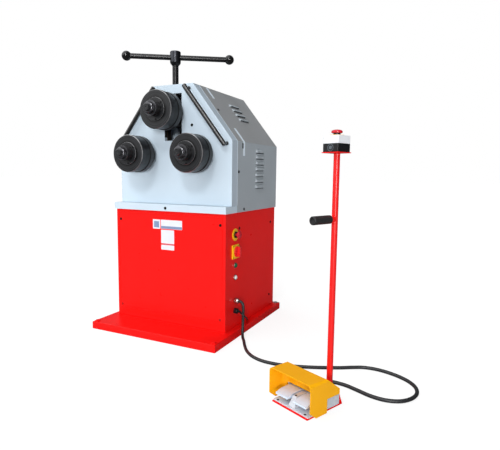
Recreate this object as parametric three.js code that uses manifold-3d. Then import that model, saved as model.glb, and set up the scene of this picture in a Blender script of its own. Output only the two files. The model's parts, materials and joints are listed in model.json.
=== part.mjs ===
// A floor-standing ring roller: three forming rollers on a house-shaped head, a cabinet on a low base
// tray, and a pedal stand on a control cable. Millimetres, +Z up, rollers facing -Y, and the origin on
// the floor under the middle of the base tray.
import * as THREE from "three";
import { mergeVertices } from "three/addons/utils/BufferGeometryUtils.js";
import Module from "manifold-3d";

const wasm = await Module();
wasm.setup();

// Gap between pieces that touch or run in each other
const clearance = 0.3;

// Base tray
const baseWidth = 720;
const baseDepth = 774;
const baseHeight = 36;
const baseSheet = 4;
const baseRib = 6;

// Cabinet
const cabinetWidth = 650;
const cabinetDepth = 594;
const cabinetHeight = 569;
const cabinetSheet = 3;
const cabinetFlange = 38;
const frontLedge = 157.5;
const panelWidth = 616;
const panelHeight = 505;
const panelSill = 49;
const panelSheet = 2;
const panelReveal = 1.5;
const panelLap = 16;

// Electrical board on the cabinet's rear wall, its devices placed from the board's middle
const boardWidth = 360;
const boardHeight = 300;
const boardSheet = 3;
const boardRise = 59.5;
const boardDevices = [
  { left: -150, right: -90, foot: 40, head: 120, depth: 70 },
  { left: -70, right: -20, foot: 40, head: 120, depth: 60 },
  { left: 0, right: 50, foot: 40, head: 120, depth: 60 },
  { left: 80, right: 150, foot: 30, head: 130, depth: 85 },
  { left: -150, right: 150, foot: -20, head: -2, depth: 12 },
  { left: -150, right: -40, foot: -125, head: -45, depth: 90 },
  { left: 10, right: 150, foot: -110, head: -60, depth: 40 },
];

// Head bed, the light ledge under the roller head
const headWidth = 662;
const bedHeight = 34;
const bedSheet = 4;
const bedLip = 59;
const bedOverhang = 9.7;

// Roller head: front plate, rear plate and cover share one house-shaped outline
const shoulderRise = 309;
const topRise = 583;
const topWidth = 231;
const frontPlate = 20;
const frontPlateFlange = 8;
const frontBoxDepth = 55;
const rearPlate = 16;
const rearPlateSetback = 118;
const coverSheet = 2;
const tabNotches = [
  { low: 241, high: 376 },
  { low: 526, high: 578 },
];
const slotWidth = 102;
const slotFoot = 313;
const slotHeight = 227;
const railWidth = 20;
const louverLength = 102;
const louverOpening = 8;
const louverPitch = 30.5;
const louverStart = 207;
const sideLouvers = 7;
const sideLouverTop = 264;
const slopeLouvers = 4;
const slopeLouverTop = 97;
const slopeLouverPitch = 32;

// Rollers and their shafts
const rollerSpan = 333;
const rollerHeight = 245;
const topRollerHeight = 447;
const rollerRadius = 90;
const grooveRadius = 87;
const discWidth = 31.4;
const discChamfer = 3;
const bossRadius = 54;
const bossHeight = 5;
const rollerStandoff = 48;
const shaftRadius = 25;
const shoulderRadius = 34;
const shoulderLength = 35;
const threadRadius = 16.5;
const threadLength = 47;
const shaftProud = 11;
const collarRadius = 33;
const collarLength = 27;
const washerRadius = 36;
const washerThickness = 7;
const nutFlats = 50;
const nutHeight = 19;
const bearingRadius = 36;
const bearingLength = 30;
const bearingFlangeRadius = 58;
const bearingFlange = 12;

// Drive train behind the rear plate
const gearTeeth = 36;
const pinionTeeth = 16;
const gearWidth = 30;
const gearHubRadius = 40;
const gearHubLength = 10;
const pinionShaftRadius = 20;
const gearboxWidth = 150;
const gearboxDepth = 140;
const gearboxHeight = 210;
const gearboxDrop = 130;
const gearboxSetback = 10;
const gearboxFootFlare = 15;
const motorRadius = 66;
const motorLength = 215;
const motorDrop = 84;

// Slide block and screw spindle above it
const blockHalfHeight = 60;
const blockDepth = 150;
const slideGap = 0.5;
const spindleRadius = 15;
const spindleSeat = 18;
const spindleSetback = 24;
const spindleNutRadius = 20;
const spindleNutHeight = 36;
const hubRadius = 26;
const hubHeight = 55;
const hubTaper = 14;
const hubRise = 161;
const barDrop = 29;
const barRadius = 12.5;
const barAngle = 32.1;
const barLeft = 234;
const barRight = 264;
const ballRadius = 23;
const barNeckRadius = 6;
const barNeckLength = 14;

// Guide bars in front of the sloping edges
const guideRadius = 11;
const guideLength = 361;
const guideInset = 31;
const guideStandoff = 36;
const guideOverhang = 6;
const studRadius = 6;
const studInset = 12;

// Controls in a column on the cabinet's right side: buttons below its top edge, glands above its foot
const controlSetback = 96;
const barrelRadius = 11;
const barrelLength = 25;
const estopDrop = 106;
const estopRingRadius = 30;
const estopRing = 3;
const estopCollarRadius = 16;
const estopCollar = 6;
const mushroomRadius = 19;
const mushroomHeight = 12;
const mushroomStemRadius = 8;
const mushroomGap = 9;
const switchDrop = 188;
const switchPlate = 68;
const switchPlateThickness = 8;
const switchKnobRadius = 26;
const switchKnobDisc = 8;
const switchGrip = 14;
const switchGripHeight = 16;
const startDrop = 256;
const bezelRadius = 14;
const bezelHeight = 6;
const capRadius = 9.5;
const capProud = 5;
const lampDrop = 316;
const lampProud = 12;
const cableGlandRise = 136;
const cordGlandRise = 85;
const glandRadius = 13;
const glandLength = 24;

// Pedal stand, in its own frame: -Y faces the operator's foot
const standX = 863;
const standY = -615.3;
const standTurn = -24.26;
const standWidth = 167;
const standDepth = 179;
const standPlate = 4;
const standFlange = 48;
const standFlangeTop = 124;
const poleRadius = 11;
const poleOffset = 16;
const headPlateHeight = 865;
const headPlate = 3;
const headPlateOverhang = 3;
const stationOffset = 13;
const stationSize = 66;
const stationLower = 28;
const stationUpper = 27;
const stationCorner = 4;
const stationRing = 2;
const stationRingRadius = 25.5;
const stationSkirtRadius = 12;
const stationSkirt = 9;
const stationMushroomGap = 6.5;
const gripHeight = 640;
const gripRadius = 15;
const gripLength = 90;
const gripStandoff = 15;
const gripStubRadius = 11;
const gripStubLength = 45;
const castingSheet = 5;
const castingWidth = 163.4;
const castingFoot = 84;
const castingRear = 74;
const castingFace = 12;
const castingBody = 49.8;
const earWidth = 5;
const earReach = 12;
const dividerWidth = 16;
const dividerFlare = 8;
const dividerHeight = 43;
const dividerFoot = -79;
const dividerCrest = -62;
const guardWidth = 194;
const guardBackWidth = 188;
const guardSheet = 2.5;
const guardHeight = 122.7;
const guardFront = -91;
const guardStep = -8;
const guardStepTop = 120;
const guardStepFoot = 53.5;
const guardBack = 60;
const guardBackTop = 69;
const guardBackFoot = 50.3;
const guardFoot = 5;
const guardNose = 28.5;
const guardNoseRun = 29;
const guardCorner = 14;
const guardWall = -13;
const guardWallFoot = 50.5;
const guardSkirtFoot = 24;
const guardWallCorner = 25;
const pedalWidth = 56;
const pedalSpacing = 85;
const pedalFront = -84;
const pedalThickness = 6;
const pedalTip = 37;
const pedalRise = 9;
const pedalCrest = -36;
const pedalCurve = 3;
const pedalEnd = 13;
const pivotRadius = 4;
const pivotHeight = 38;
const pedalGlandX = -38.5;
const pedalGlandZ = 26;
const pedalGlandRadius = 11;
const pedalGlandProud = 20;

// Cords
const cableRadius = 7;
const cordRadius = 3.5;
const cordHole = [331, 1];
const cordHoleRadius = 6;
const cordNotch = [331, 12];
const coilTurns = 4;
const coilOuter = 62;
const coilPitch = 7.8;
const coilLayer = 7.8;
const coilCentre = [120, 485];
const coilSteps = 24;
const coilTail = [0.15, 0.6, 1, 1];
const plugLength = 52;
const plugRadius = 17;
const plugPinRadius = 2.4;
const plugPinLength = 19;
const plugPinSpacing = 19;

// Places worked out from the sizes above
const cabinetFront = -baseDepth / 2 + frontLedge;
const cabinetRear = cabinetFront + cabinetDepth;
const cabinetTop = baseHeight + cabinetHeight;
const bedTop = cabinetTop + bedHeight;
const bedFront = cabinetFront - bedOverhang;
const plateFront = bedFront + bedLip;
const plateRear = plateFront + frontBoxDepth;
const rearPlateFront = plateFront + rearPlateSetback;
const rearPlateRear = rearPlateFront + rearPlate;
const shoulderZ = bedTop + shoulderRise;
const topZ = bedTop + topRise;
const hubTop = topZ + hubRise;
const barHeight = hubTop - barDrop;
const rollerX = rollerSpan / 2;
const rollerZ = bedTop + rollerHeight;
const topRollerZ = bedTop + topRollerHeight;
const rollerRear = plateFront - rollerStandoff;
const rollerFront = rollerRear - 3 * discWidth;
const collarFront = rollerFront - bossHeight - collarLength - washerThickness;
const nutFront = collarFront - nutHeight;
const shaftFront = nutFront - shaftProud;
const slotFootZ = bedTop + slotFoot;
const slotTopZ = slotFootZ + slotHeight;
const spindleY = plateFront + spindleSetback;
const blockTopZ = topRollerZ + blockHalfHeight;
const blockRear = plateFront + blockDepth;
const gearModule = (2 * rollerX) / (gearTeeth + pinionTeeth);
const gearFront = rearPlateRear + gearHubLength;
const gearRear = gearFront + gearWidth;
const gearboxFront = gearRear + gearboxSetback;
const gearboxFoot = rollerZ - gearboxDrop;
const motorZ = rollerZ - motorDrop;
const motorY = gearboxFront + gearboxDepth / 2;
const cabinetSide = cabinetWidth / 2;
const estopHeight = cabinetTop - estopDrop;
const switchHeight = cabinetTop - switchDrop;
const startHeight = cabinetTop - startDrop;
const lampHeight = cabinetTop - lampDrop;
const cableGlandHeight = baseHeight + cableGlandRise;
const cordGlandHeight = baseHeight + cordGlandRise;
const controlY = cabinetFront + controlSetback;
const gearboxBore = 55;

const colours = {
  red: [0xd81f1f, 0.35, 0.0],
  lightGrey: [0xc3d1dd, 0.45, 0.0],
  midGrey: [0x838a8f, 0.45, 0.0],
  black: [0x1a1b1d, 0.35, 0.6],
  steel: [0x9a9da1, 0.3, 0.9],
  bronze: [0xa97c3d, 0.35, 0.9],
  motorGrey: [0x59636b, 0.5, 0.3],
  yellow: [0xf6b412, 0.4, 0.0],
  plasticRed: [0xd0142a, 0.3, 0.0],
  plasticBlack: [0x151617, 0.45, 0.0],
  plasticWhite: [0xf1f2f2, 0.4, 0.0],
  green: [0x1f9a4e, 0.3, 0.0],
  castGrey: [0xb3b9bf, 0.5, 0.1],
  rubber: [0x17181a, 0.6, 0.0],
};

const materials = {};
for (const [name, [color, roughness, metalness]] of Object.entries(colours)) {
  materials[name] = new THREE.MeshStandardMaterial({ color, roughness, metalness });
}

// Solids

function signedVolume(positions, triangles) {
  let volume = 0;
  const corner = [new THREE.Vector3(), new THREE.Vector3(), new THREE.Vector3()];
  for (let i = 0; i < triangles.length; i += 3) {
    corner.forEach((v, k) => v.fromArray(positions, 3 * triangles[i + k]));
    volume += corner[0].dot(corner[1].clone().cross(corner[2])) / 6;
  }
  return volume;
}

// A closed geometry as a manifold solid, its faces turned outwards where a mapping has mirrored it.
function solidOf(geometry) {
  const bare = geometry.clone();
  bare.deleteAttribute("normal");
  bare.deleteAttribute("uv");
  const merged = mergeVertices(bare, 1e-4);
  const vertProperties = merged.attributes.position.array;
  const triVerts = new Uint32Array(merged.index.array);
  if (signedVolume(vertProperties, triVerts) < 0) {
    triVerts.reverse();
  }
  return new wasm.Manifold(new wasm.Mesh({ numProp: 3, vertProperties, triVerts }));
}

function geometryOf(solid) {
  const mesh = solid.getMesh();
  const geometry = new THREE.BufferGeometry();
  geometry.setAttribute("position", new THREE.BufferAttribute(mesh.vertProperties, 3));
  geometry.setIndex(new THREE.BufferAttribute(mesh.triVerts, 1));
  geometry.computeVertexNormals();
  return geometry;
}

// The axes of a flat drawing (u, v) and of the direction it is extruded or bored along.
const mappings = {
  x: new THREE.Matrix4().makeBasis(
    new THREE.Vector3(0, 1, 0),
    new THREE.Vector3(0, 0, 1),
    new THREE.Vector3(1, 0, 0),
  ),
  y: new THREE.Matrix4().makeBasis(
    new THREE.Vector3(1, 0, 0),
    new THREE.Vector3(0, 0, 1),
    new THREE.Vector3(0, 1, 0),
  ),
  z: new THREE.Matrix4(),
};

function box(x0, x1, y0, y1, z0, z1) {
  const geometry = new THREE.BoxGeometry(x1 - x0, y1 - y0, z1 - z0);
  geometry.translate((x0 + x1) / 2, (y0 + y1) / 2, (z0 + z1) / 2);
  return solidOf(geometry);
}

// A flat shape in (u, v), extruded along an axis from one plane to another.
function prism(shape, axis, from, to, curveSegments = 6) {
  const geometry = new THREE.ExtrudeGeometry(shape, {
    depth: to - from,
    bevelEnabled: false,
    curveSegments,
  });
  geometry.translate(0, 0, from);
  geometry.applyMatrix4(mappings[axis]);
  return solidOf(geometry);
}

function polygon(points) {
  return new THREE.Shape(points.map(([u, v]) => new THREE.Vector2(u, v)));
}

function ring(radius, sides, u = 0, v = 0, phase = 0) {
  const points = [];
  for (let i = 0; i < sides; i++) {
    const angle = phase + (2 * Math.PI * i) / sides;
    points.push([u + radius * Math.cos(angle), v + radius * Math.sin(angle)]);
  }
  return points;
}

// A round bar or drill along an axis, centred on (u, v).
function rod(axis, radius, from, to, u = 0, v = 0, sides = 18) {
  return prism(polygon(ring(radius, sides, u, v)), axis, from, to);
}

// The radius of a bore whose flats, not its corners, keep the clearance to a shaft that turns in it.
function runningBore(radius, sides = 18) {
  return (radius + clearance) / Math.cos(Math.PI / sides);
}

// A turned piece: a closed profile of (radius, distance along the axis), centred on (u, v).
function turned(profile, axis, u = 0, v = 0, sides = 18) {
  const closed = profile[0][0] === 0 ? profile : [...profile, profile[0]];
  const geometry = new THREE.LatheGeometry(
    closed.map(([r, h]) => new THREE.Vector2(r, h)),
    sides,
  );
  // The lathe's axis is Y, its rings start on +Z: bring them to (u, v) with the axis along w.
  geometry.applyMatrix4(
    new THREE.Matrix4().makeBasis(
      new THREE.Vector3(0, 1, 0),
      new THREE.Vector3(0, 0, 1),
      new THREE.Vector3(1, 0, 0),
    ),
  );
  geometry.translate(u, v, 0);
  geometry.applyMatrix4(mappings[axis]);
  return solidOf(geometry);
}

function roundedRectangle(u0, u1, v0, v1, r) {
  const shape = new THREE.Shape();
  shape.moveTo(u0 + r, v0);
  shape.lineTo(u1 - r, v0);
  shape.absarc(u1 - r, v0 + r, r, -Math.PI / 2, 0);
  shape.lineTo(u1, v1 - r);
  shape.absarc(u1 - r, v1 - r, r, 0, Math.PI / 2);
  shape.lineTo(u0 + r, v1);
  shape.absarc(u0 + r, v1 - r, r, Math.PI / 2, Math.PI);
  shape.lineTo(u0, v0 + r);
  shape.absarc(u0 + r, v0 + r, r, Math.PI, 1.5 * Math.PI);
  return shape;
}

function joined(first, ...rest) {
  return rest.reduce((sum, solid) => sum.add(solid), first);
}

function cut(first, ...rest) {
  return rest.reduce((left, solid) => left.subtract(solid), first);
}

const machine = new THREE.Group();
const stand = new THREE.Group();
stand.position.set(standX, standY, 0);
stand.rotation.z = THREE.MathUtils.degToRad(standTurn);
machine.add(stand);

function add(name, solid, material, group = machine) {
  const mesh = new THREE.Mesh(geometryOf(solid), materials[material]);
  mesh.name = name;
  group.add(mesh);
  return mesh;
}

// Base and cabinet

function baseTray() {
  const x = baseWidth / 2;
  const y = baseDepth / 2;
  const under = baseHeight - baseSheet;
  const shell = cut(
    box(-x, x, -y, y, 0, baseHeight),
    box(-x + baseSheet, x - baseSheet, -y + baseSheet, y - baseSheet, -1, under),
  );
  const rib = box(-baseRib / 2, baseRib / 2, -y + 1, y - 1, 0, under + 1);
  const hole = rod("z", cordHoleRadius, under - 1, baseHeight + 1, ...cordHole, 16);
  const [notchX, notchHeight] = cordNotch;
  const notch = box(
    notchX - cordHoleRadius,
    notchX + cordHoleRadius,
    y - baseSheet - 1,
    y + 1,
    -1,
    notchHeight,
  );
  return cut(joined(shell, rib), hole, notch);
}

function cabinetShell() {
  const x = cabinetSide;
  const bottom = baseHeight + clearance;
  const pocket = panelSheet + clearance;
  const frame = pocket + cabinetSheet;
  const walls = cut(
    box(-x, x, cabinetFront, cabinetRear, bottom, cabinetTop),
    box(
      -x + cabinetSheet,
      x - cabinetSheet,
      cabinetFront + frame,
      cabinetRear - cabinetSheet,
      bottom - 1,
      cabinetTop + 1,
    ),
  );
  const flanges = [bottom, cabinetTop - cabinetSheet].map((z) =>
    cut(
      box(-x + 1, x - 1, cabinetFront + 1, cabinetRear - 1, z, z + cabinetSheet),
      box(
        -x + cabinetFlange,
        x - cabinetFlange,
        cabinetFront + cabinetFlange,
        cabinetRear - cabinetFlange,
        z - 1,
        z + cabinetSheet + 1,
      ),
    ),
  );
  const sill = baseHeight + panelSill - panelReveal;
  const half = panelWidth / 2 + panelReveal;
  const head = baseHeight + panelSill + panelHeight + panelReveal;
  const recess = box(-half, half, cabinetFront - 1, cabinetFront + pocket, sill, head);
  const opening = box(
    -half + panelLap,
    half - panelLap,
    cabinetFront - 1,
    cabinetFront + frame + 1,
    sill + panelLap,
    head - panelLap,
  );
  const heights = [
    estopHeight,
    switchHeight,
    startHeight,
    lampHeight,
    cableGlandHeight,
    cordGlandHeight,
  ];
  const holes = heights.map((z) =>
    rod("x", barrelRadius + clearance, x - cabinetSheet - 1, x + 1, controlY, z),
  );
  return cut(joined(walls, ...flanges), recess, opening, ...holes);
}

function cabinetFrontPanel() {
  const bottom = baseHeight + panelSill;
  return box(
    -panelWidth / 2,
    panelWidth / 2,
    cabinetFront,
    cabinetFront + panelSheet,
    bottom,
    bottom + panelHeight,
  );
}

function electricalPanel() {
  const back = cabinetRear - cabinetSheet - clearance;
  const middle = (baseHeight + cabinetTop) / 2 + boardRise;
  const board = box(
    -boardWidth / 2,
    boardWidth / 2,
    back - boardSheet,
    back,
    middle - boardHeight / 2,
    middle + boardHeight / 2,
  );
  const devices = boardDevices.map(({ left, right, foot, head, depth }) =>
    box(left, right, back - boardSheet - depth, back - boardSheet / 2, middle + foot, middle + head),
  );
  return joined(board, ...devices);
}

// Head

// The house-shaped outline in (x, z), with every edge but the foot moved in by an inset.
function houseOutline(inset, foot) {
  const wide = headWidth / 2;
  const narrow = topWidth / 2;
  const run = wide - narrow;
  const rise = topZ - shoulderZ;
  const slope = Math.hypot(run, rise);
  const side = wide - inset;
  const roof = topZ - inset;
  const shoulder = shoulderZ - (inset * (slope - rise)) / run;
  const corner = narrow - (inset * (slope - run)) / rise;
  return polygon([
    [-side, foot],
    [side, foot],
    [side, shoulder],
    [corner, roof],
    [-corner, roof],
    [-side, shoulder],
  ]);
}

// Where a length along the right-hand slope from its top corner, and a distance in from it, lies.
function onSlope(along, inward) {
  const run = (headWidth - topWidth) / 2;
  const rise = topZ - shoulderZ;
  const slope = Math.hypot(run, rise);
  return {
    x: topWidth / 2 + (run * along - rise * inward) / slope,
    z: topZ - (rise * along + run * inward) / slope,
    tilt: Math.atan2(rise, run),
    slope,
  };
}

function headBed() {
  const bottom = cabinetTop + clearance;
  const rear = cabinetRear - coverSheet - clearance;
  const inner = headWidth / 2 - coverSheet - clearance;
  const front = box(-headWidth / 2, headWidth / 2, bedFront, plateRear, bottom, bedTop);
  const back = box(-inner, inner, plateRear - 1, rear, bottom, bedTop);
  const hollow = box(
    -inner + bedSheet,
    inner - bedSheet,
    bedFront + bedSheet,
    rear - bedSheet,
    bottom - 1,
    bedTop - bedSheet,
  );
  return cut(joined(front, back), hollow);
}

function headFrontPlate() {
  const foot = bedTop + clearance;
  const half = slotWidth / 2;
  const body = prism(houseOutline(0, foot), "y", plateFront, plateRear);
  const pocket = prism(
    houseOutline(frontPlateFlange, foot + frontPlateFlange),
    "y",
    plateFront + frontPlate,
    plateRear + 1,
  );
  const rails = [-half - railWidth, half].map((x) =>
    box(x, x + railWidth, plateFront + 1, plateRear, slotFootZ, topZ - 1),
  );
  const bridge = box(-half - 1, half + 1, plateFront + 1, plateRear, slotTopZ, topZ - 1);
  const slot = box(-half, half, plateFront - 1, plateRear + 1, slotFootZ, slotTopZ);
  const nutTop = slotTopZ + spindleNutHeight + clearance;
  const nutBore = rod("z", spindleNutRadius + clearance, slotTopZ - 1, nutTop, 0, spindleY);
  const spindleBore = rod("z", spindleRadius + 1, slotTopZ, topZ + 1, 0, spindleY);
  const bearingBores = [-rollerX, rollerX].map((x) =>
    rod("y", bearingRadius + clearance, plateFront - 1, plateFront + frontPlate + 1, x, rollerZ),
  );
  return cut(
    joined(cut(body, pocket), ...rails, bridge),
    slot,
    nutBore,
    spindleBore,
    ...bearingBores,
  );
}

function headRearPlate() {
  const foot = bedTop + clearance;
  const half = slotWidth / 2;
  const inner = prism(
    houseOutline(coverSheet + clearance, foot),
    "y",
    rearPlateFront,
    rearPlateRear,
  );
  const full = prism(houseOutline(0, foot), "y", rearPlateFront, rearPlateRear);
  const tabs = tabNotches.map(({ low, high }) =>
    full.intersect(
      box(
        -headWidth,
        headWidth,
        rearPlateFront - 1,
        rearPlateRear + 1,
        bedTop + low,
        bedTop + high,
      ),
    ),
  );
  const slot = box(-half, half, rearPlateFront - 1, rearPlateRear + 1, slotFootZ, slotTopZ);
  const bores = [-rollerX, rollerX].map((x) =>
    rod("y", runningBore(shaftRadius), rearPlateFront - 1, rearPlateRear + 1, x, rollerZ),
  );
  const pinionBore = rod(
    "y",
    runningBore(pinionShaftRadius),
    rearPlateFront - 1,
    rearPlateRear + 1,
    0,
    rollerZ,
  );
  return cut(joined(inner, ...tabs), slot, pinionBore, ...bores);
}

function headCover() {
  const foot = cabinetTop + clearance;
  const front = plateRear + clearance;
  const shell = cut(
    prism(houseOutline(0, foot), "y", front, cabinetRear),
    prism(houseOutline(coverSheet, foot - 1), "y", front - 1, cabinetRear - coverSheet),
  );
  const notches = tabNotches.map(({ low, high }) =>
    box(
      -headWidth,
      headWidth,
      rearPlateFront - clearance,
      rearPlateRear + clearance,
      bedTop + low - clearance,
      bedTop + high + clearance,
    ),
  );
  const louverFront = plateRear + louverStart;
  const sideSlots = [];
  for (let i = 0; i < sideLouvers; i++) {
    const z = bedTop + sideLouverTop - i * louverPitch;
    sideSlots.push(
      box(
        -headWidth,
        headWidth,
        louverFront,
        louverFront + louverLength,
        z - louverOpening / 2,
        z + louverOpening / 2,
      ),
    );
  }
  const slopeSlots = [];
  for (const mirror of [1, -1]) {
    for (let i = 0; i < slopeLouvers; i++) {
      const place = onSlope(slopeLouverTop + i * slopeLouverPitch, 0);
      const slit = new THREE.BoxGeometry(louverOpening, louverLength, 6 * coverSheet);
      slit.rotateY(mirror * place.tilt);
      slit.translate(mirror * place.x, louverFront + louverLength / 2, place.z);
      slopeSlots.push(solidOf(slit));
    }
  }
  return cut(shell, ...notches, ...sideSlots, ...slopeSlots);
}

// Rollers

// A shaft with its parts from front to rear: a centre-drilled thread, the seat, and a shoulder.
function rollerShaft(x, z, rear) {
  const seatFront = shaftFront + threadLength;
  const shoulderFront = rollerRear + clearance;
  const thread = threadRadius - clearance;
  return turned(
    [
      [0, shaftFront + 3],
      [3, shaftFront],
      [thread - 2, shaftFront],
      [thread, shaftFront + 2],
      [thread, seatFront],
      [shaftRadius, seatFront],
      [shaftRadius, shoulderFront],
      [shoulderRadius, shoulderFront],
      [shoulderRadius, shoulderFront + shoulderLength],
      [shaftRadius, shoulderFront + shoulderLength],
      [shaftRadius, rear],
      [0, rear],
    ],
    "y",
    x,
    z,
  );
}

// The front disc carries a raised boss; its rim is chamfered on both sides.
function frontDisc(x, z) {
  const bore = shaftRadius + clearance;
  const rear = rollerFront + discWidth - clearance;
  return turned(
    [
      [bore, rollerFront - bossHeight],
      [bossRadius, rollerFront - bossHeight],
      [bossRadius, rollerFront],
      [rollerRadius - discChamfer, rollerFront],
      [rollerRadius, rollerFront + discChamfer],
      [rollerRadius, rear - discChamfer],
      [rollerRadius - discChamfer, rear],
      [bore, rear],
    ],
    "y",
    x,
    z,
    32,
  );
}

// The rear disc has the slightly smaller middle ring of the roller turned on its front.
function rearDisc(x, z) {
  const bore = shaftRadius + clearance;
  const front = rollerFront + discWidth;
  const step = front + discWidth;
  return turned(
    [
      [bore, front],
      [grooveRadius, front],
      [grooveRadius, step],
      [rollerRadius, step + discChamfer],
      [rollerRadius, rollerRear - discChamfer],
      [rollerRadius - discChamfer, rollerRear],
      [bore, rollerRear],
    ],
    "y",
    x,
    z,
    32,
  );
}

function rollerCollar(x, z) {
  const bore = shaftRadius + clearance;
  const step = collarFront + washerThickness;
  return turned(
    [
      [bore, collarFront],
      [washerRadius, collarFront],
      [washerRadius, step],
      [collarRadius, step],
      [collarRadius, rollerFront - bossHeight - clearance],
      [bore, rollerFront - bossHeight - clearance],
    ],
    "y",
    x,
    z,
  );
}

function rollerNut(x, z) {
  const hexagon = polygon(ring(nutFlats / Math.sqrt(3), 6, x, z, Math.PI / 6));
  const back = collarFront - clearance;
  const body = prism(hexagon, "y", nutFront, back);
  // The corners of the front face are turned off at 30 degrees.
  const cone = turned(
    [
      [0, nutFront - 1],
      [nutFlats / 2 - 3, nutFront - 1],
      [nutFlats / 2 + 6, nutFront + 4],
      [nutFlats / 2 + 6, back + 1],
      [0, back + 1],
    ],
    "y",
    x,
    z,
  );
  const bore = rod("y", threadRadius, nutFront - 1, back + 1, x, z);
  return cut(body.intersect(cone), bore);
}

function shaftBearing(x, z) {
  const bore = runningBore(shaftRadius);
  const flangeRear = plateFront - clearance;
  const flangeFront = flangeRear - bearingFlange;
  return turned(
    [
      [bore, flangeFront],
      [bearingFlangeRadius - 2, flangeFront],
      [bearingFlangeRadius, flangeFront + 2],
      [bearingFlangeRadius, flangeRear],
      [bearingRadius, flangeRear],
      [bearingRadius, plateFront + bearingLength],
      [bore, plateFront + bearingLength],
    ],
    "y",
    x,
    z,
  );
}

// Toothed outline with straight flanks and about a tenth of a pitch of play on each side.
function gearOutline(teeth, x, z, phase) {
  const pitchRadius = (gearModule * teeth) / 2;
  const tip = pitchRadius + 0.8 * gearModule;
  const root = pitchRadius - 1.1 * gearModule;
  const pitchAngle = (2 * Math.PI) / teeth;
  const points = [];
  for (let i = 0; i < teeth; i++) {
    const middle = phase + i * pitchAngle;
    const flanks = [
      [root, -0.3],
      [tip, -0.1],
      [tip, 0.1],
      [root, 0.3],
    ];
    for (const [radius, share] of flanks) {
      const angle = middle + share * pitchAngle;
      points.push([x + radius * Math.cos(angle), z + radius * Math.sin(angle)]);
    }
  }
  return polygon(points);
}

function driveGear(x) {
  const halfTooth = Math.PI / gearTeeth;
  const wheel = prism(gearOutline(gearTeeth, x, rollerZ, halfTooth), "y", gearFront, gearRear);
  const hub = rod("y", gearHubRadius, rearPlateRear + clearance, gearFront + 1, x, rollerZ);
  const bore = rod("y", shaftRadius + clearance, rearPlateRear, gearRear + 1, x, rollerZ);
  return cut(joined(wheel, hub), bore);
}

function drivePinion() {
  const teeth = prism(gearOutline(pinionTeeth, 0, rollerZ, 0), "y", gearFront, gearRear);
  const shaftRear = gearboxFront + gearboxBore;
  const shaft = rod("y", pinionShaftRadius, rearPlateFront, shaftRear, 0, rollerZ);
  return joined(teeth, shaft);
}

function wormGearbox() {
  const half = gearboxWidth / 2;
  const rear = gearboxFront + gearboxDepth;
  const corner = 12;
  const housing = prism(
    roundedRectangle(-half, half, gearboxFoot, gearboxFoot + gearboxHeight, corner),
    "y",
    gearboxFront,
    rear,
    3,
  );
  const foot = bedTop + clearance;
  const flare = half + gearboxFootFlare;
  const pedestal = prism(
    polygon([
      [-flare, foot],
      [flare, foot],
      [flare, foot + 12],
      [half - 20, foot + 26],
      [half - 20, gearboxFoot + 1],
      [-half + 20, gearboxFoot + 1],
      [-half + 20, foot + 26],
      [-flare, foot + 12],
    ]),
    "y",
    gearboxFront + 10,
    rear - 10,
  );
  const bore = rod(
    "y",
    runningBore(pinionShaftRadius),
    gearboxFront - 1,
    gearboxFront + gearboxBore + clearance,
    0,
    rollerZ,
  );
  return cut(joined(housing, pedestal), bore);
}

function driveMotor() {
  const start = gearboxWidth / 2 + clearance;
  const end = start + motorLength;
  return turned(
    [
      [0, start],
      [motorRadius + 8, start],
      [motorRadius + 8, start + 12],
      [motorRadius, start + 12],
      [motorRadius, end - 42],
      [motorRadius + 4, end - 40],
      [motorRadius + 4, end - 10],
      [motorRadius - 6, end],
      [0, end],
    ],
    "x",
    motorY,
    motorZ,
  );
}

// Slide block and spindle

function slideBlock() {
  const half = slotWidth / 2 - slideGap;
  const body = box(
    -half,
    half,
    plateFront,
    blockRear,
    topRollerZ - blockHalfHeight,
    blockTopZ,
  );
  const bearingBore = rod(
    "y",
    bearingRadius + clearance,
    plateFront - 1,
    plateFront + bearingLength + clearance,
    0,
    topRollerZ,
  );
  const shaftBore = rod("y", runningBore(shaftRadius), plateFront, blockRear + 1, 0, topRollerZ);
  const seat = rod(
    "z",
    runningBore(spindleRadius),
    blockTopZ - spindleSeat,
    blockTopZ + 1,
    0,
    spindleY,
  );
  return cut(body, bearingBore, shaftBore, seat);
}

function barTool(radius) {
  const tool = new THREE.CylinderGeometry(radius, radius, 4 * hubRadius, 16);
  tool.rotateZ(Math.PI / 2);
  tool.rotateZ(THREE.MathUtils.degToRad(barAngle));
  tool.translate(0, spindleY, barHeight);
  return solidOf(tool);
}

function spindle() {
  const hubFoot = hubTop - hubHeight;
  const body = turned(
    [
      [0, blockTopZ - spindleSeat + clearance],
      [spindleRadius, blockTopZ - spindleSeat + clearance],
      [spindleRadius, hubFoot - hubTaper],
      [hubRadius, hubFoot],
      [hubRadius, hubTop - 2],
      [hubRadius - 2, hubTop],
      [0, hubTop],
    ],
    "z",
    0,
    spindleY,
  );
  return cut(body, barTool(barRadius + clearance));
}

function spindleNut() {
  const bore = runningBore(spindleRadius);
  const foot = slotTopZ;
  return turned(
    [
      [bore, foot],
      [spindleNutRadius, foot],
      [spindleNutRadius, foot + spindleNutHeight],
      [bore, foot + spindleNutHeight],
    ],
    "z",
    0,
    spindleY,
  );
}

const barShoulder = Math.sqrt(ballRadius ** 2 - barRadius ** 2);

function onBar(geometry) {
  geometry.rotateZ(THREE.MathUtils.degToRad(barAngle));
  geometry.translate(0, spindleY, barHeight);
  return solidOf(geometry);
}

function alongBar(radius, from, to, sides) {
  const rodGeometry = new THREE.CylinderGeometry(radius, radius, to - from, sides);
  rodGeometry.rotateZ(Math.PI / 2);
  rodGeometry.translate((from + to) / 2, 0, 0);
  return onBar(rodGeometry);
}

function barBall(centre) {
  const ball = new THREE.SphereGeometry(ballRadius, 16, 12);
  ball.translate(centre, 0, 0);
  return onBar(ball);
}

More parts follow.
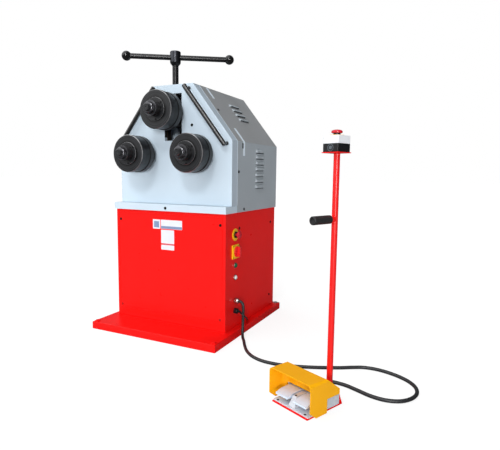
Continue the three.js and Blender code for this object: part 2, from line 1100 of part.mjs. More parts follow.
function handleBar() {
  const end = barRight - barShoulder;
  return joined(
    alongBar(barRadius, -barLeft, end, 16),
    alongBar(barNeckRadius, end - 1, end + barNeckLength, 12),
    barBall(-barLeft),
  );
}

function handleBall() {
  const seat = barRight - barShoulder + clearance;
  return cut(
    barBall(barRight),
    alongBar(ballRadius, seat - 2 * ballRadius, seat, 12),
    alongBar(barNeckRadius + clearance, seat - 1, seat + barNeckLength, 12),
  );
}

// A round bar along the sloping edge, on two studs that reach the plate.
function guideBar(mirror) {
  const y = plateFront - guideStandoff;
  const slope = onSlope(0, 0).slope;
  const overrun = (guideLength - slope) / 2;
  const middle = onSlope(slope / 2 + overrun - guideOverhang, guideInset);
  const bar = new THREE.CylinderGeometry(guideRadius, guideRadius, guideLength, 16);
  bar.rotateX(Math.PI / 2);
  bar.rotateX(-Math.PI / 2);
  bar.rotateZ(Math.PI / 2);
  bar.rotateY(mirror * middle.tilt);
  bar.translate(mirror * middle.x, y, middle.z);
  const first = -guideOverhang + studInset;
  const studs = [first, first + guideLength - 2 * studInset].map((along) => {
    const place = onSlope(along, guideInset);
    return rod("y", studRadius, y, plateFront - clearance, mirror * place.x, place.z, 12);
  });
  return joined(solidOf(bar), ...studs);
}

// Controls on the cabinet's right side, turned or extruded along X

function controlBarrel(height, radius = barrelRadius) {
  return rod(
    "x",
    radius,
    cabinetSide - barrelLength,
    cabinetSide + clearance + 1,
    controlY,
    height,
    16,
  );
}

function estopBase() {
  const face = cabinetSide + clearance;
  const body = turned(
    [
      [0, face],
      [estopRingRadius, face],
      [estopRingRadius, face + estopRing],
      [estopCollarRadius, face + estopRing],
      [estopCollarRadius, face + estopRing + estopCollar],
      [0, face + estopRing + estopCollar],
    ],
    "x",
    controlY,
    estopHeight,
  );
  const contacts = box(
    cabinetSide - barrelLength - 35,
    cabinetSide - barrelLength + 1,
    controlY - 18,
    controlY + 18,
    estopHeight - 18,
    estopHeight + 18,
  );
  const bore = rod(
    "x",
    mushroomStemRadius + clearance,
    cabinetSide - barrelLength / 2,
    face + estopRing + estopCollar + 1,
    controlY,
    estopHeight,
    16,
  );
  return cut(joined(body, controlBarrel(estopHeight), contacts), bore);
}

// A mushroom cap on its stem; the stem reaches down into the bore of what carries it.
function mushroomProfile(foot, underside) {
  return [
    [0, foot],
    [mushroomStemRadius, foot],
    [mushroomStemRadius, underside],
    [mushroomRadius - 3, underside],
    [mushroomRadius, underside + 3],
    [mushroomRadius, underside + mushroomHeight - 5],
    [mushroomRadius - 5, underside + mushroomHeight - 1],
    [mushroomRadius - 11, underside + mushroomHeight],
    [0, underside + mushroomHeight],
  ];
}

function estopMushroom() {
  const collarTop = cabinetSide + clearance + estopRing + estopCollar;
  return turned(
    mushroomProfile(cabinetSide, collarTop + mushroomGap),
    "x",
    controlY,
    estopHeight,
    20,
  );
}

function mainSwitchBase() {
  const half = switchPlate / 2;
  const face = cabinetSide + clearance;
  const plate = prism(
    roundedRectangle(
      controlY - half,
      controlY + half,
      switchHeight - half,
      switchHeight + half,
      6,
    ),
    "x",
    face,
    face + switchPlateThickness,
    3,
  );
  const contacts = box(
    cabinetSide - barrelLength - 35,
    cabinetSide - barrelLength + 1,
    controlY - 24,
    controlY + 24,
    switchHeight - 24,
    switchHeight + 24,
  );
  const bore = rod(
    "x",
    barNeckRadius + clearance,
    cabinetSide - barrelLength / 2,
    face + switchPlateThickness + 1,
    controlY,
    switchHeight,
    12,
  );
  return cut(joined(plate, controlBarrel(switchHeight), contacts), bore);
}

function mainSwitchKnob() {
  const back = cabinetSide + 2 * clearance + switchPlateThickness;
  const front = back + switchKnobDisc;
  const disc = rod("x", switchKnobRadius, back, front, controlY, switchHeight, 28);
  const stem = rod("x", barNeckRadius, cabinetSide, back + 1, controlY, switchHeight, 12);
  const grip = prism(
    roundedRectangle(
      controlY - switchGrip / 2,
      controlY + switchGrip / 2,
      switchHeight - switchKnobRadius + 1,
      switchHeight + switchKnobRadius - 1,
      4,
    ),
    "x",
    front - 1,
    front + switchGripHeight,
    3,
  );
  return joined(disc, stem, grip);
}

function bezelProfile(face) {
  return [
    [0, face],
    [bezelRadius, face],
    [bezelRadius, face + bezelHeight - 2],
    [bezelRadius - 2, face + bezelHeight],
    [0, face + bezelHeight],
  ];
}

function startButtonBezel() {
  const face = cabinetSide + clearance;
  const bezel = turned(bezelProfile(face), "x", controlY, startHeight, 20);
  const bore = rod(
    "x",
    capRadius + clearance,
    cabinetSide - barrelLength / 2,
    face + bezelHeight + 1,
    controlY,
    startHeight,
    20,
  );
  return cut(joined(bezel, controlBarrel(startHeight)), bore);
}

function startButtonCap() {
  const front = cabinetSide + clearance + bezelHeight + capProud;
  return turned(
    [
      [0, cabinetSide - barrelLength / 2 + 7],
      [capRadius, cabinetSide - barrelLength / 2 + 7],
      [capRadius, front - 1.5],
      [capRadius - 1.5, front],
      [0, front],
    ],
    "x",
    controlY,
    startHeight,
    20,
  );
}

function indicatorLamp() {
  const face = cabinetSide + clearance;
  const lens = bezelRadius - 3.5;
  const dome = turned(
    [
      [0, face],
      [lens, face],
      [lens, face + bezelHeight + 1],
      [lens * 0.8, face + lampProud - 2],
      [lens * 0.4, face + lampProud],
      [0, face + lampProud],
    ],
    "x",
    controlY,
    lampHeight,
    20,
  );
  const bezel = turned(bezelProfile(face), "x", controlY, lampHeight, 20);
  return joined(bezel, dome, controlBarrel(lampHeight));
}

// A gland: a hexagonal nut against the wall and a cap that narrows to the cord it holds.
function cordGland(height, held) {
  const face = cabinetSide + clearance;
  const hexagon = prism(
    polygon(ring(glandRadius + 1, 6, controlY, height, Math.PI / 6)),
    "x",
    face,
    face + glandLength / 3,
  );
  const cap = turned(
    [
      [0, face],
      [glandRadius - 1, face],
      [glandRadius - 1, face + glandLength * 0.6],
      [held + 2, face + glandLength],
      [0, face + glandLength],
    ],
    "x",
    controlY,
    height,
    20,
  );
  return joined(hexagon, cap, controlBarrel(height));
}

// Pedal stand

const poleY = standDepth / 2 + poleRadius - 1;

function pedalStand() {
  const x = standWidth / 2;
  const y = standDepth / 2;
  const plate = box(-x, x, -y, y, 0, standPlate);
  const gland = rod(
    "y",
    pedalGlandRadius + clearance,
    y - standPlate - 1,
    y + 1,
    pedalGlandX,
    pedalGlandZ,
    16,
  );
  const outline = polygon([
    [-x, 0],
    [x, 0],
    [standFlangeTop / 2, standFlange],
    [-standFlangeTop / 2, standFlange],
  ]);
  const flange = cut(prism(outline, "y", y - standPlate, y), gland);
  const pole = rod("z", poleRadius, standPlate, headPlateHeight + 1, poleOffset, poleY, 20);
  const half = stationSize / 2 + headPlateOverhang;
  const head = box(
    stationOffset - half,
    stationOffset + half,
    poleY - half,
    poleY + half,
    headPlateHeight,
    headPlateHeight + headPlate,
  );
  const stub = rod(
    "y",
    gripStubRadius,
    poleY - poleRadius - gripStubLength,
    poleY,
    poleOffset,
    gripHeight,
    14,
  );
  return joined(plate, flange, pole, head, stub);
}

// The grip is pushed onto the stub and ends short of the pole.
function standGrip() {
  const back = poleY - poleRadius - gripStandoff;
  const front = back - gripLength;
  const body = turned(
    [
      [0, front],
      [gripRadius - 3, front],
      [gripRadius, front + 3],
      [gripRadius, back - 2],
      [gripRadius - 2, back],
      [0, back],
    ],
    "y",
    poleOffset,
    gripHeight,
    18,
  );
  const bore = rod(
    "y",
    gripStubRadius + clearance,
    back + gripStandoff - gripStubLength - clearance,
    back + 1,
    poleOffset,
    gripHeight,
    14,
  );
  return cut(body, bore);
}

function stationHalf(foot, height) {
  const half = stationSize / 2;
  return prism(
    roundedRectangle(
      stationOffset - half,
      stationOffset + half,
      poleY - half,
      poleY + half,
      stationCorner,
    ),
    "z",
    foot,
    foot + height,
    3,
  );
}

const stationFoot = headPlateHeight + headPlate + clearance;
const stationSeam = stationFoot + stationLower + clearance;
const stationTop = stationSeam + stationUpper;

const stationRingTop = stationTop + stationRing;

// The upper half with the ring on top; its bore is wide where the mushroom's skirt goes down into it.
function stationBoxUpper() {
  const ringDisc = rod(
    "z",
    stationRingRadius,
    stationTop - 1,
    stationRingTop,
    stationOffset,
    poleY,
  );
  const skirtBore = rod(
    "z",
    stationSkirtRadius + clearance,
    stationRingTop - stationSkirt,
    stationRingTop + 1,
    stationOffset,
    poleY,
    16,
  );
  const stemBore = rod(
    "z",
    mushroomStemRadius + clearance,
    stationTop - barrelLength / 2,
    stationTop,
    stationOffset,
    poleY,
  );
  return cut(joined(stationHalf(stationSeam, stationUpper), ringDisc), skirtBore, stemBore);
}

function stationMushroom() {
  const underside = stationRingTop + stationMushroomGap;
  const skirt = rod(
    "z",
    stationSkirtRadius,
    stationRingTop - clearance,
    underside + 1,
    stationOffset,
    poleY,
    16,
  );
  const cap = turned(mushroomProfile(stationTop, underside), "z", stationOffset, poleY);
  return joined(cap, skirt);
}

// The grey casting under the guard: a low pan, a rear body, side ears, a divider and the pivot pin.
function pedalCasting() {
  const x = castingWidth / 2;
  const floor = standPlate + clearance;
  const divider = dividerWidth / 2;
  const pan = box(-x, x, -castingFoot, castingRear, floor, floor + castingSheet);
  const body = box(-x, x, castingFace, castingRear, floor, castingBody);
  const ears = [-x, x - earWidth].map((side) =>
    box(side, side + earWidth, -earReach, castingFace + 1, floor, pivotHeight + 2 * pivotRadius),
  );
  const ridge = polygon([
    [dividerFoot, floor],
    [castingFace + 1, floor],
    [castingFace + 1, dividerHeight],
    [dividerCrest, dividerHeight],
  ]);
  const section = polygon([
    [-divider - dividerFlare, floor],
    [divider + dividerFlare, floor],
    [divider, dividerHeight + 1],
    [-divider, dividerHeight + 1],
  ]);
  const rib = prism(ridge, "x", -dividerWidth, dividerWidth).intersect(
    prism(section, "y", dividerFoot - 1, castingFace + 2),
  );
  const pin = rod("x", pivotRadius, -x + 1, x - 1, 0, pivotHeight, 12);
  const gland = rod(
    "y",
    pedalGlandRadius,
    castingRear - 1,
    standDepth / 2 + pedalGlandProud,
    pedalGlandX,
    pedalGlandZ,
    16,
  );
  return joined(pan, body, ...ears, rib, pin, gland);
}

// The guard seen from above: straight sides in front of the step, and a tapering rear behind it.
function guardPlan(inset, front) {
  const half = guardWidth / 2 - inset;
  const taper = (guardWidth - guardBackWidth) / 2 / (guardBack - guardStep);
  const back = guardBackWidth / 2 - inset + taper * inset;
  return polygon([
    [-half, front],
    [half, front],
    [half, guardStep],
    [back, guardBack - inset],
    [-back, guardBack - inset],
    [-half, guardStep],
  ]);
}

// The guard seen from the front: a tall arch with rounded upper corners.
function guardArch(inset) {
  const half = guardWidth / 2 - inset;
  return prism(
    roundedRectangle(-half, half, -guardHeight, guardHeight - inset, guardCorner - inset),
    "y",
    guardFront - guardWidth,
    guardBack + guardWidth,
    4,
  );
}

// The guard's outline from the side, open at the front and foot once it is inset.
function guardSide(inset) {
  const slope = (guardStepTop - guardBackTop) / (guardBack - guardStep);
  const fall = (guardHeight - guardStepTop) / (guardStep - guardFront);
  const drop = inset * Math.hypot(1, slope);
  const sloped = (y) => guardStepTop - slope * (y - guardStep) - drop;
  const level = (y) => guardStepTop - fall * (y - guardStep) - inset;
  const bend = guardStep - (drop - inset) / (slope - fall);
  const roof = [
    [guardBack - inset, sloped(guardBack - inset)],
    [bend, level(bend)],
  ];
  if (inset > 0) {
    const front = guardFront - 1;
    return polygon([[front, -1], [guardBack - inset, -1], ...roof, [front, level(front)]]);
  }
  return polygon([
    [guardFront, guardNose],
    [guardFront + guardNoseRun, guardFoot],
    [guardStep, guardFoot],
    [guardStep, guardStepFoot],
    [guardBack, guardBackFoot],
    ...roof,
    [guardFront, guardHeight],
  ]);
}

// The wall across the guard behind the pedals, its ends curving forward into the sides and hanging
// down past the casting.
function guardCrossWall() {
  const half = guardWidth / 2 - 1;
  const r = guardWallCorner;
  const front = guardWall - r;
  const rear = guardWall + guardSheet;
  const side = half + 1 - guardSheet;
  const shape = new THREE.Shape();
  shape.moveTo(-half, front);
  shape.lineTo(-side, front);
  shape.absarc(-side + r, front, r, Math.PI, Math.PI / 2, true);
  shape.lineTo(side - r, guardWall);
  shape.absarc(side - r, front, r, Math.PI / 2, 0, true);
  shape.lineTo(half, front);
  shape.lineTo(half, rear);
  shape.lineTo(-half, rear);
  const wall = prism(shape, "z", guardSkirtFoot, guardHeight, 4);
  const past = castingWidth / 2 + clearance;
  const low = box(-past, past, front - 1, rear + 1, guardSkirtFoot - 1, guardWallFoot);
  return cut(wall, low);
}

function pedalGuard() {
  const wide = guardWidth;
  const outer = prism(guardSide(0), "x", -wide, wide)
    .intersect(guardArch(0))
    .intersect(prism(guardPlan(0, guardFront), "z", 0, guardHeight + 1));
  const inner = prism(guardSide(guardSheet), "x", -wide, wide)
    .intersect(guardArch(guardSheet))
    .intersect(prism(guardPlan(guardSheet, guardFront - 1), "z", -1, guardHeight));
  return joined(cut(outer, inner), guardCrossWall().intersect(outer));
}

// A pedal: a curved tread that rises to its crest and falls again to the pivot's bore at the rear.
function footPedal(x) {
  const half = pedalWidth / 2;
  const rear = pivotRadius + 5;
  const top = pedalTip + pedalRise;
  const middle = (pedalFront + pedalCrest) / 2;
  const side = polygon([
    [pedalFront, pedalTip - pedalThickness],
    [pedalFront, pedalTip],
    [middle, (pedalTip + top) / 2 + pedalCurve],
    [pedalCrest, top],
    [-pedalEnd, top],
    [rear, top - pedalCurve],
    [rear, pivotHeight - pivotRadius - 4],
    [-pedalEnd, pivotHeight - pivotRadius - 4],
    [pedalCrest, top - 2.6 * pedalThickness],
  ]);
  const body = prism(side, "x", x - half, x + half);
  const bore = rod("x", pivotRadius + clearance, x - half - 1, x + half + 1, 0, pivotHeight, 16);
  return cut(body, bore);
}

// Cords

function tube(points, radius, steps, sides) {
  const path = new THREE.CatmullRomCurve3(
    points.map((point) => new THREE.Vector3(...point)),
    false,
    "centripetal",
  );
  const geometry = new THREE.ExtrudeGeometry(polygon(ring(radius, sides)), {
    steps,
    bevelEnabled: false,
    extrudePath: path,
  });
  return { solid: solidOf(geometry), length: path.getLength() };
}

// A point of the stand's frame, in the machine's.
function fromStand(x, y, z) {
  const point = new THREE.Vector3(x, y, z);
  point.applyAxisAngle(new THREE.Vector3(0, 0, 1), stand.rotation.z);
  point.add(stand.position);
  return point.toArray();
}

const glandEnd = cabinetSide + clearance + glandLength + clearance;
const pedalGlandEnd = standDepth / 2 + pedalGlandProud + clearance;

// The control cable: out of its gland, down past the tray's edge, and over the floor to the stand.
const cableRoute = [
  [glandEnd, controlY, cableGlandHeight],
  [glandEnd + 6, controlY, cableGlandHeight],
  [365, -133.5, 167],
  [373, -133.5, 155],
  [374, -134, 135],
  [374, -134.5, 105],
  [374, -136, 68],
  [375, -140, 40],
  [379, -150, 20],
  [391, -171, 8],
  [414, -206, 7.5],
  [443, -256, 7.5],
  [484, -315, 7.5],
  [530, -356, 7.5],
  [583, -379, 7.5],
  [640, -384, 7.5],
  [700, -376, 7.5],
  [766, -356, 7.5],
  [835, -328, 7.5],
  [901, -296, 7.5],
  [944, -270, 7.5],
  [985, -250, 7.5],
  [1035, -245, 7.5],
  [1085, -255, 7.5],
  [1133, -276, 7.5],
  [1172, -306, 7.5],
  [1197, -345, 7.5],
  [1204, -392, 7.5],
  [1190, -438, 7.5],
  [1158, -474, 7.5],
  [1110, -490, 7.5],
  [1057, -483, 7.5],
  [1005, -461, 7.5],
  [955, -441, 7.5],
  [912, -436, 7.5],
  [886, -449, 12],
  fromStand(pedalGlandX, pedalGlandEnd + 14, pedalGlandZ),
  fromStand(pedalGlandX, pedalGlandEnd, pedalGlandZ),
];

// The mains cord: out of its gland, through the tray's hole, and under the tray to the rear notch.
const coilStart = [
  coilCentre[0] + coilOuter,
  coilCentre[1],
  cordRadius + 0.5,
];
const cordRoute = [
  [glandEnd, controlY, cordGlandHeight],
  [glandEnd + 6, controlY, cordGlandHeight],
  [364, -143, 119],
  [376, -152, 115],
  [385, -152, 110],
  [388, -141, 102],
  [382, -122, 93],
  [360, -66, 66],
  [345, -33, 53],
  [335, -8.5, 46],
  [331.3, 2, 38],
  [331, 3.5, 29],
  [331, 10, 17],
  [331, 32, 8],
  [331, 70, 5],
  [331, 200, 4.5],
  [331, 385, 4.5],
  [328, 412, 4.5],
  [308, 436, 4.5],
  [262, 443, 4.5],
  [210, 447, 4.5],
  [188, 458, 4.5],
  [coilStart[0], coilStart[1] - 10, coilStart[2]],
  [coilStart[0], coilStart[1] - clearance, coilStart[2]],
];

// The coil's centreline: in over the lower layer, up beside it in half a turn, out over it, and a tail
// that rises to the plug.
function coilPoints() {
  const lead = Math.asin((2 * cordRadius) / coilOuter);
  const inTurns = coilTurns / 2;
  const count = Math.round(coilTurns * coilSteps);
  const points = [[...coilStart]];
  for (let i = 0; i <= count; i++) {
    const turn = i / coilSteps;
    const climb = THREE.MathUtils.clamp(2 * (turn - inTurns + 0.5), 0, 1) * (Math.PI / 2);
    let inward = Math.min(turn, coilTurns - turn);
    if (climb > 0 && climb < Math.PI / 2) {
      inward = coilTurns - 1 - turn + Math.sin(climb);
    }
    const radius = coilOuter - coilPitch * inward;
    const angle = lead + 2 * Math.PI * turn;
    points.push([
      coilCentre[0] + radius * Math.cos(angle),
      coilCentre[1] + radius * Math.sin(angle),
      coilStart[2] + coilLayer * (1 - Math.cos(climb)),
    ]);
  }
  const [x, y, z] = points[points.length - 1];
  const rise = plugRadius + 0.5 - z;
  for (let i = 1; i <= coilTail.length; i++) {
    points.push([x - 1.2 * i, y + coilTail.length * 6 * i, z + rise * coilTail[i - 1]]);
  }
  return points.map((point) => new THREE.Vector3(...point));
}

// Rings of points square to the centreline, sewn into one closed tube.
function ringTube(centres, radius, sides) {
  const up = new THREE.Vector3(0, 0, 1);
  const positions = [];
  centres.forEach((centre, i) => {
    const before = centres[Math.max(i - 1, 0)];
    const after = centres[Math.min(i + 1, centres.length - 1)];
    const along = after.clone().sub(before).normalize();
    const side = along.clone().cross(up).normalize();
    const rise = side.clone().cross(along).normalize();
    for (let k = 0; k < sides; k++) {
      const angle = (2 * Math.PI * (k + 0.5)) / sides;
      const point = centre
        .clone()
        .addScaledVector(side, radius * Math.cos(angle))
        .addScaledVector(rise, radius * Math.sin(angle));
      positions.push(...point.toArray());
    }
  });
  const index = [];
  for (let i = 0; i + 1 < centres.length; i++) {
    for (let k = 0; k < sides; k++) {
      const next = (k + 1) % sides;
      const a = i * sides + k;
      const b = i * sides + next;
      index.push(a, b, a + sides, b, b + sides, a + sides);
    }
  }
  const last = (centres.length - 1) * sides;
  for (let k = 1; k + 1 < sides; k++) {
    index.push(0, k + 1, k, last, last + k, last + k + 1);
  }
  const geometry = new THREE.BufferGeometry();
  geometry.setAttribute("position", new THREE.Float32BufferAttribute(positions, 3));
  geometry.setIndex(index);
  return solidOf(geometry);
}

// The least distance between the surfaces of two stretches that aren't neighbours on the coil.
function coilGap(centres, radius) {
  const apart = Math.round(coilSteps / 2);
  let least = Infinity;
  for (let i = 0; i < centres.length; i++) {
    for (let k = i + apart; k < centres.length; k++) {
      least = Math.min(least, centres[i].distanceTo(centres[k]));
    }
  }
  return least - 2 * radius;
}

// A moulded plug with two pins, lying on the floor at the coil's outer end.
function mainsPlug(end, along) {
  const profile = [
    [0, clearance],
    [cordRadius + 2, clearance],
    [cordRadius + 3, 12],
    [plugRadius - 2, 22],
    [plugRadius, 28],
    [plugRadius, plugLength],
    [0, plugLength],
  ];
  const body = turned(profile, "y", 0, 0, 16);
  const pins = [-1, 1].map((side) =>
    rod(
      "y",
      plugPinRadius,
      plugLength - 1,
      plugLength + plugPinLength,
      (side * plugPinSpacing) / 2,
      0,
      8,
    ),
  );
  const turn = THREE.MathUtils.radToDeg(Math.atan2(along.y, along.x)) - 90;
  return joined(body, ...pins)
    .rotate([0, 0, turn])
    .translate(end.toArray());
}

// Assembly

add("base_tray", baseTray(), "red");
add("cabinet_shell", cabinetShell(), "red");
add("cabinet_front_panel", cabinetFrontPanel(), "red");
add("electrical_panel", electricalPanel(), "steel");

add("head_bed", headBed(), "lightGrey");
add("head_front_plate", headFrontPlate(), "lightGrey");
add("head_rear_plate", headRearPlate(), "lightGrey");
add("head_cover", headCover(), "midGrey");

const stations = {
  left: { x: -rollerX, z: rollerZ, rear: gearRear + 4 },
  right: { x: rollerX, z: rollerZ, rear: gearRear + 4 },
  top: { x: 0, z: topRollerZ, rear: blockRear + 4 },
};
for (const [side, { x, z, rear }] of Object.entries(stations)) {
  add(`${side}_roller_shaft`, rollerShaft(x, z, rear), "steel");
  add(`${side}_roller_front_disc`, frontDisc(x, z), "black");
  add(`${side}_roller_rear_disc`, rearDisc(x, z), "black");
  add(`${side}_roller_collar`, rollerCollar(x, z), "black");
  add(`${side}_roller_nut`, rollerNut(x, z), "black");
  add(`${side}_shaft_bearing`, shaftBearing(x, z), "steel");
}
add("left_drive_gear", driveGear(-rollerX), "steel");
add("right_drive_gear", driveGear(rollerX), "steel");
add("drive_pinion", drivePinion(), "steel");
add("worm_gearbox", wormGearbox(), "motorGrey");
add("drive_motor", driveMotor(), "motorGrey");

add("slide_block", slideBlock(), "steel");
add("spindle", spindle(), "black");
add("spindle_nut", spindleNut(), "bronze");
add("handle_bar", handleBar(), "black");
add("handle_ball", handleBall(), "black");
add("left_guide_bar", guideBar(-1), "black");
add("right_guide_bar", guideBar(1), "black");

add("estop_base", estopBase(), "yellow");
add("estop_mushroom", estopMushroom(), "plasticRed");
add("main_switch_base", mainSwitchBase(), "yellow");
add("main_switch_knob", mainSwitchKnob(), "plasticRed");
add("start_button_bezel", startButtonBezel(), "steel");
add("start_button_cap", startButtonCap(), "green");
add("indicator_lamp", indicatorLamp(), "plasticWhite");
add("pedal_cable_gland", cordGland(cableGlandHeight, cableRadius), "steel");
add("mains_cord_gland", cordGland(cordGlandHeight, cordRadius), "plasticBlack");

add("pedal_stand", pedalStand(), "red", stand);
add("pedal_casting", pedalCasting(), "castGrey", stand);
add("pedal_guard", pedalGuard(), "yellow", stand);
add("left_pedal", footPedal(-pedalSpacing / 2), "castGrey", stand);
add("right_pedal", footPedal(pedalSpacing / 2), "castGrey", stand);
add("stand_grip", standGrip(), "rubber", stand);
add("stand_box_lower", stationHalf(stationFoot, stationLower), "plasticBlack", stand);
add("stand_box_upper", stationBoxUpper(), "plasticWhite", stand);
add("stand_estop_mushroom", stationMushroom(), "plasticRed", stand);

const cable = tube(cableRoute, cableRadius, 54, 8);
add("pedal_cable", cable.solid, "rubber");
const cord = tube(cordRoute, cordRadius, 46, 8);
add("mains_cord", cord.solid, "rubber");
const coil = coilPoints();
const coilEnd = coil[coil.length - 1];
const coilAlong = coilEnd.clone().sub(coil[coil.length - 2]).normalize();
add("mains_coil", ringTube(coil, cordRadius, 6), "rubber");
add("mains_plug", mainsPlug(coilEnd, coilAlong), "plasticBlack");

let coilLength = 0;
coil.slice(1).forEach((point, i) => {
  coilLength += point.distanceTo(coil[i]);
});
console.log(
  `pedal cable ${Math.round(cable.length)} mm, mains cord ${Math.round(cord.length)} mm free`,
  `and ${Math.round(coilLength)} mm coiled, least gap in the coil ${coilGap(coil, cordRadius).toFixed(2)} mm`,
);

export default machine;
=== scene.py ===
# Ring roller and its pedal stand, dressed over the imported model. Drawings are in millimetres.
import json
import math

import bmesh
import bpy
from mathutils import Matrix, Vector


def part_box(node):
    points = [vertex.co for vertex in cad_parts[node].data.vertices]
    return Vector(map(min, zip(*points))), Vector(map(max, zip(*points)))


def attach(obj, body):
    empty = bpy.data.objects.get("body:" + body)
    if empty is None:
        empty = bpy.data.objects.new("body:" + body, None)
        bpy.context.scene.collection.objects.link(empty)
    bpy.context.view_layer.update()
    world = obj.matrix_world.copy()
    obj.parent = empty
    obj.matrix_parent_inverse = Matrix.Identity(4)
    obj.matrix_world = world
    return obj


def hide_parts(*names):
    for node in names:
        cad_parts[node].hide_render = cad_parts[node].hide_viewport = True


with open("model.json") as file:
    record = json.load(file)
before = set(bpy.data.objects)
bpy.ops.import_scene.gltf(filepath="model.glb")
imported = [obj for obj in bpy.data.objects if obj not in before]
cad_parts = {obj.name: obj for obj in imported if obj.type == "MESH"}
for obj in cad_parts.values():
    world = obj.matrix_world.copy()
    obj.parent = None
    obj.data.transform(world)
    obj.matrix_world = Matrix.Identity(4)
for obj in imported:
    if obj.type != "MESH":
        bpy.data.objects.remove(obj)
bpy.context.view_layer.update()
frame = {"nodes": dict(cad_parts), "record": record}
scene = bpy.context.scene
scene.view_settings.view_transform = "Standard"
nodes = frame["nodes"]
nodeBody = {node: body for body, members in frame["record"]["behaviour"]["bodies"].items()
            for node in members}
print("frame loaded,", len(nodes), "nodes")

# Camera, at the photograph's place
view = {"place": (1.3196, -2.0549, 0.788), "yaw": 0.44434, "pitch": 0.11086, "roll": 0.01219, "lens": 32.405}
look = Vector((
    -math.sin(view["yaw"]) * math.cos(view["pitch"]),
    math.cos(view["yaw"]) * math.cos(view["pitch"]),
    -math.sin(view["pitch"]),
))
across = Vector((math.cos(view["yaw"]), math.sin(view["yaw"]), 0))
upward = across.cross(look)
tilt = Matrix.Rotation(view["roll"], 3, look)
across, upward = tilt.inverted() @ across, tilt.inverted() @ upward
cameraData = bpy.data.cameras.new("camera")
cameraData.sensor_width = 36
cameraData.lens = view["lens"]
cameraData.clip_start = 0.05
camera = bpy.data.objects.new("camera", cameraData)
turned = Matrix((across, upward, -look)).transposed().to_4x4()
camera.matrix_world = Matrix.Translation(view["place"]) @ turned
scene.collection.objects.link(camera)
scene.camera = camera

# Studio: a pale floor, a sky that is brightest at the front left, and lamps: strength, where from, angle
studio = {
    "skyLow": 0.03, "skyHigh": 0.4, "skyFrom": (-0.79, -0.57, 0.23), "skyTint": (0.93, 0.965, 1, 1),
    "floorLit": (0.75, 0.75, 0.75, 1), "floorShade": (0.25, 0.25, 0.25, 1),
    "floorInGloss": (0.14, 0.14, 0.145, 1), "floorGlow": 0.83, "floorHalf": 60, "floorHeight": -0.0004,
    "lamps": {
        "key": (0.65, (-0.5, -0.4, 0.77), 90),
        "front": (0.53, (0.45, -0.89, 0.03), 10),
        "window": (0.3, (0.2, -0.79, 0.58), 14),
    },
}


# Gives a node's inputs their values; a node or a socket is linked instead
def setInputs(tree, node, inputs):
    for key, value in inputs.items():
        if isinstance(value, bpy.types.Node):
            value = value.outputs[0]
        if isinstance(value, bpy.types.NodeSocket):
            tree.links.new(value, node.inputs[key])
        else:
            node.inputs[key].default_value = value
    return node


def nodeAdder(tree):
    def add(kind, inputs=None, **settings):
        node = tree.nodes.new(kind)
        for name, value in settings.items():
            setattr(node, name, value)
        return setInputs(tree, node, inputs or {})
    return add


def emptyTree(holder):
    holder.use_nodes = True
    holder.node_tree.nodes.clear()
    return nodeAdder(holder.node_tree)


def skyAndFloor():
    world = bpy.data.worlds.new("sky")
    scene.world = world
    add = emptyTree(world)
    rays = add("ShaderNodeLightPath")
    place = add("ShaderNodeTexCoord").outputs["Generated"]
    towards = add("ShaderNodeVectorMath", {0: place, 1: studio["skyFrom"]}, operation="DOT_PRODUCT")
    level = add("ShaderNodeMapRange", {
        "Value": towards.outputs["Value"], "From Min": -1, "To Min": studio["skyLow"],
        "To Max": studio["skyHigh"],
    })
    lights = add("ShaderNodeBackground", {"Color": studio["skyTint"], "Strength": level})
    shows = add("ShaderNodeBackground", {"Color": (1, 1, 1, 1), "Strength": 1})
    seen = add("ShaderNodeMixShader", {"Fac": rays.outputs["Is Camera Ray"], 1: lights, 2: shows})
    add("ShaderNodeOutputWorld", {"Surface": seen})

    material = bpy.data.materials.new("paleFloor")
    add = emptyTree(material)
    rays = add("ShaderNodeLightPath")
    lit, dull, shade = [
        add("ShaderNodeBsdfDiffuse", {"Color": studio[key]})
        for key in ("floorLit", "floorInGloss", "floorShade")
    ]
    glow = add("ShaderNodeEmission", {"Strength": studio["floorGlow"]})
    others = add("ShaderNodeMixShader", {"Fac": rays.outputs["Is Glossy Ray"], 1: lit, 2: dull})
    both = add("ShaderNodeAddShader", {0: glow, 1: shade})
    seen = add("ShaderNodeMixShader", {"Fac": rays.outputs["Is Camera Ray"], 1: others, 2: both})
    add("ShaderNodeOutputMaterial", {"Surface": seen})
    half = studio["floorHalf"]
    ends = ((-half, -half), (half, -half), (half, half), (-half, half))
    corners = [(x, y, studio["floorHeight"]) for x, y in ends]
    mesh = bpy.data.meshes.new("floor")
    mesh.from_pydata(corners, [], [(0, 1, 2, 3)])
    mesh.materials.append(material)
    floor = bpy.data.objects.new("floor", mesh)
    scene.collection.objects.link(floor)


skyAndFloor()
for name, (strength, comesFrom, angle) in studio["lamps"].items():
    lampData = bpy.data.lights.new(name, "SUN")
    lampData.energy = math.pi * strength
    lampData.angle = math.radians(angle)
    lamp = bpy.data.objects.new(name, lampData)
    lamp.rotation_mode = "QUATERNION"
    lamp.rotation_quaternion = Vector(comesFrom).to_track_quat("Z", "Y")
    scene.collection.objects.link(lamp)
print("camera and studio ready")

slotOf = {}  # the slot of each material


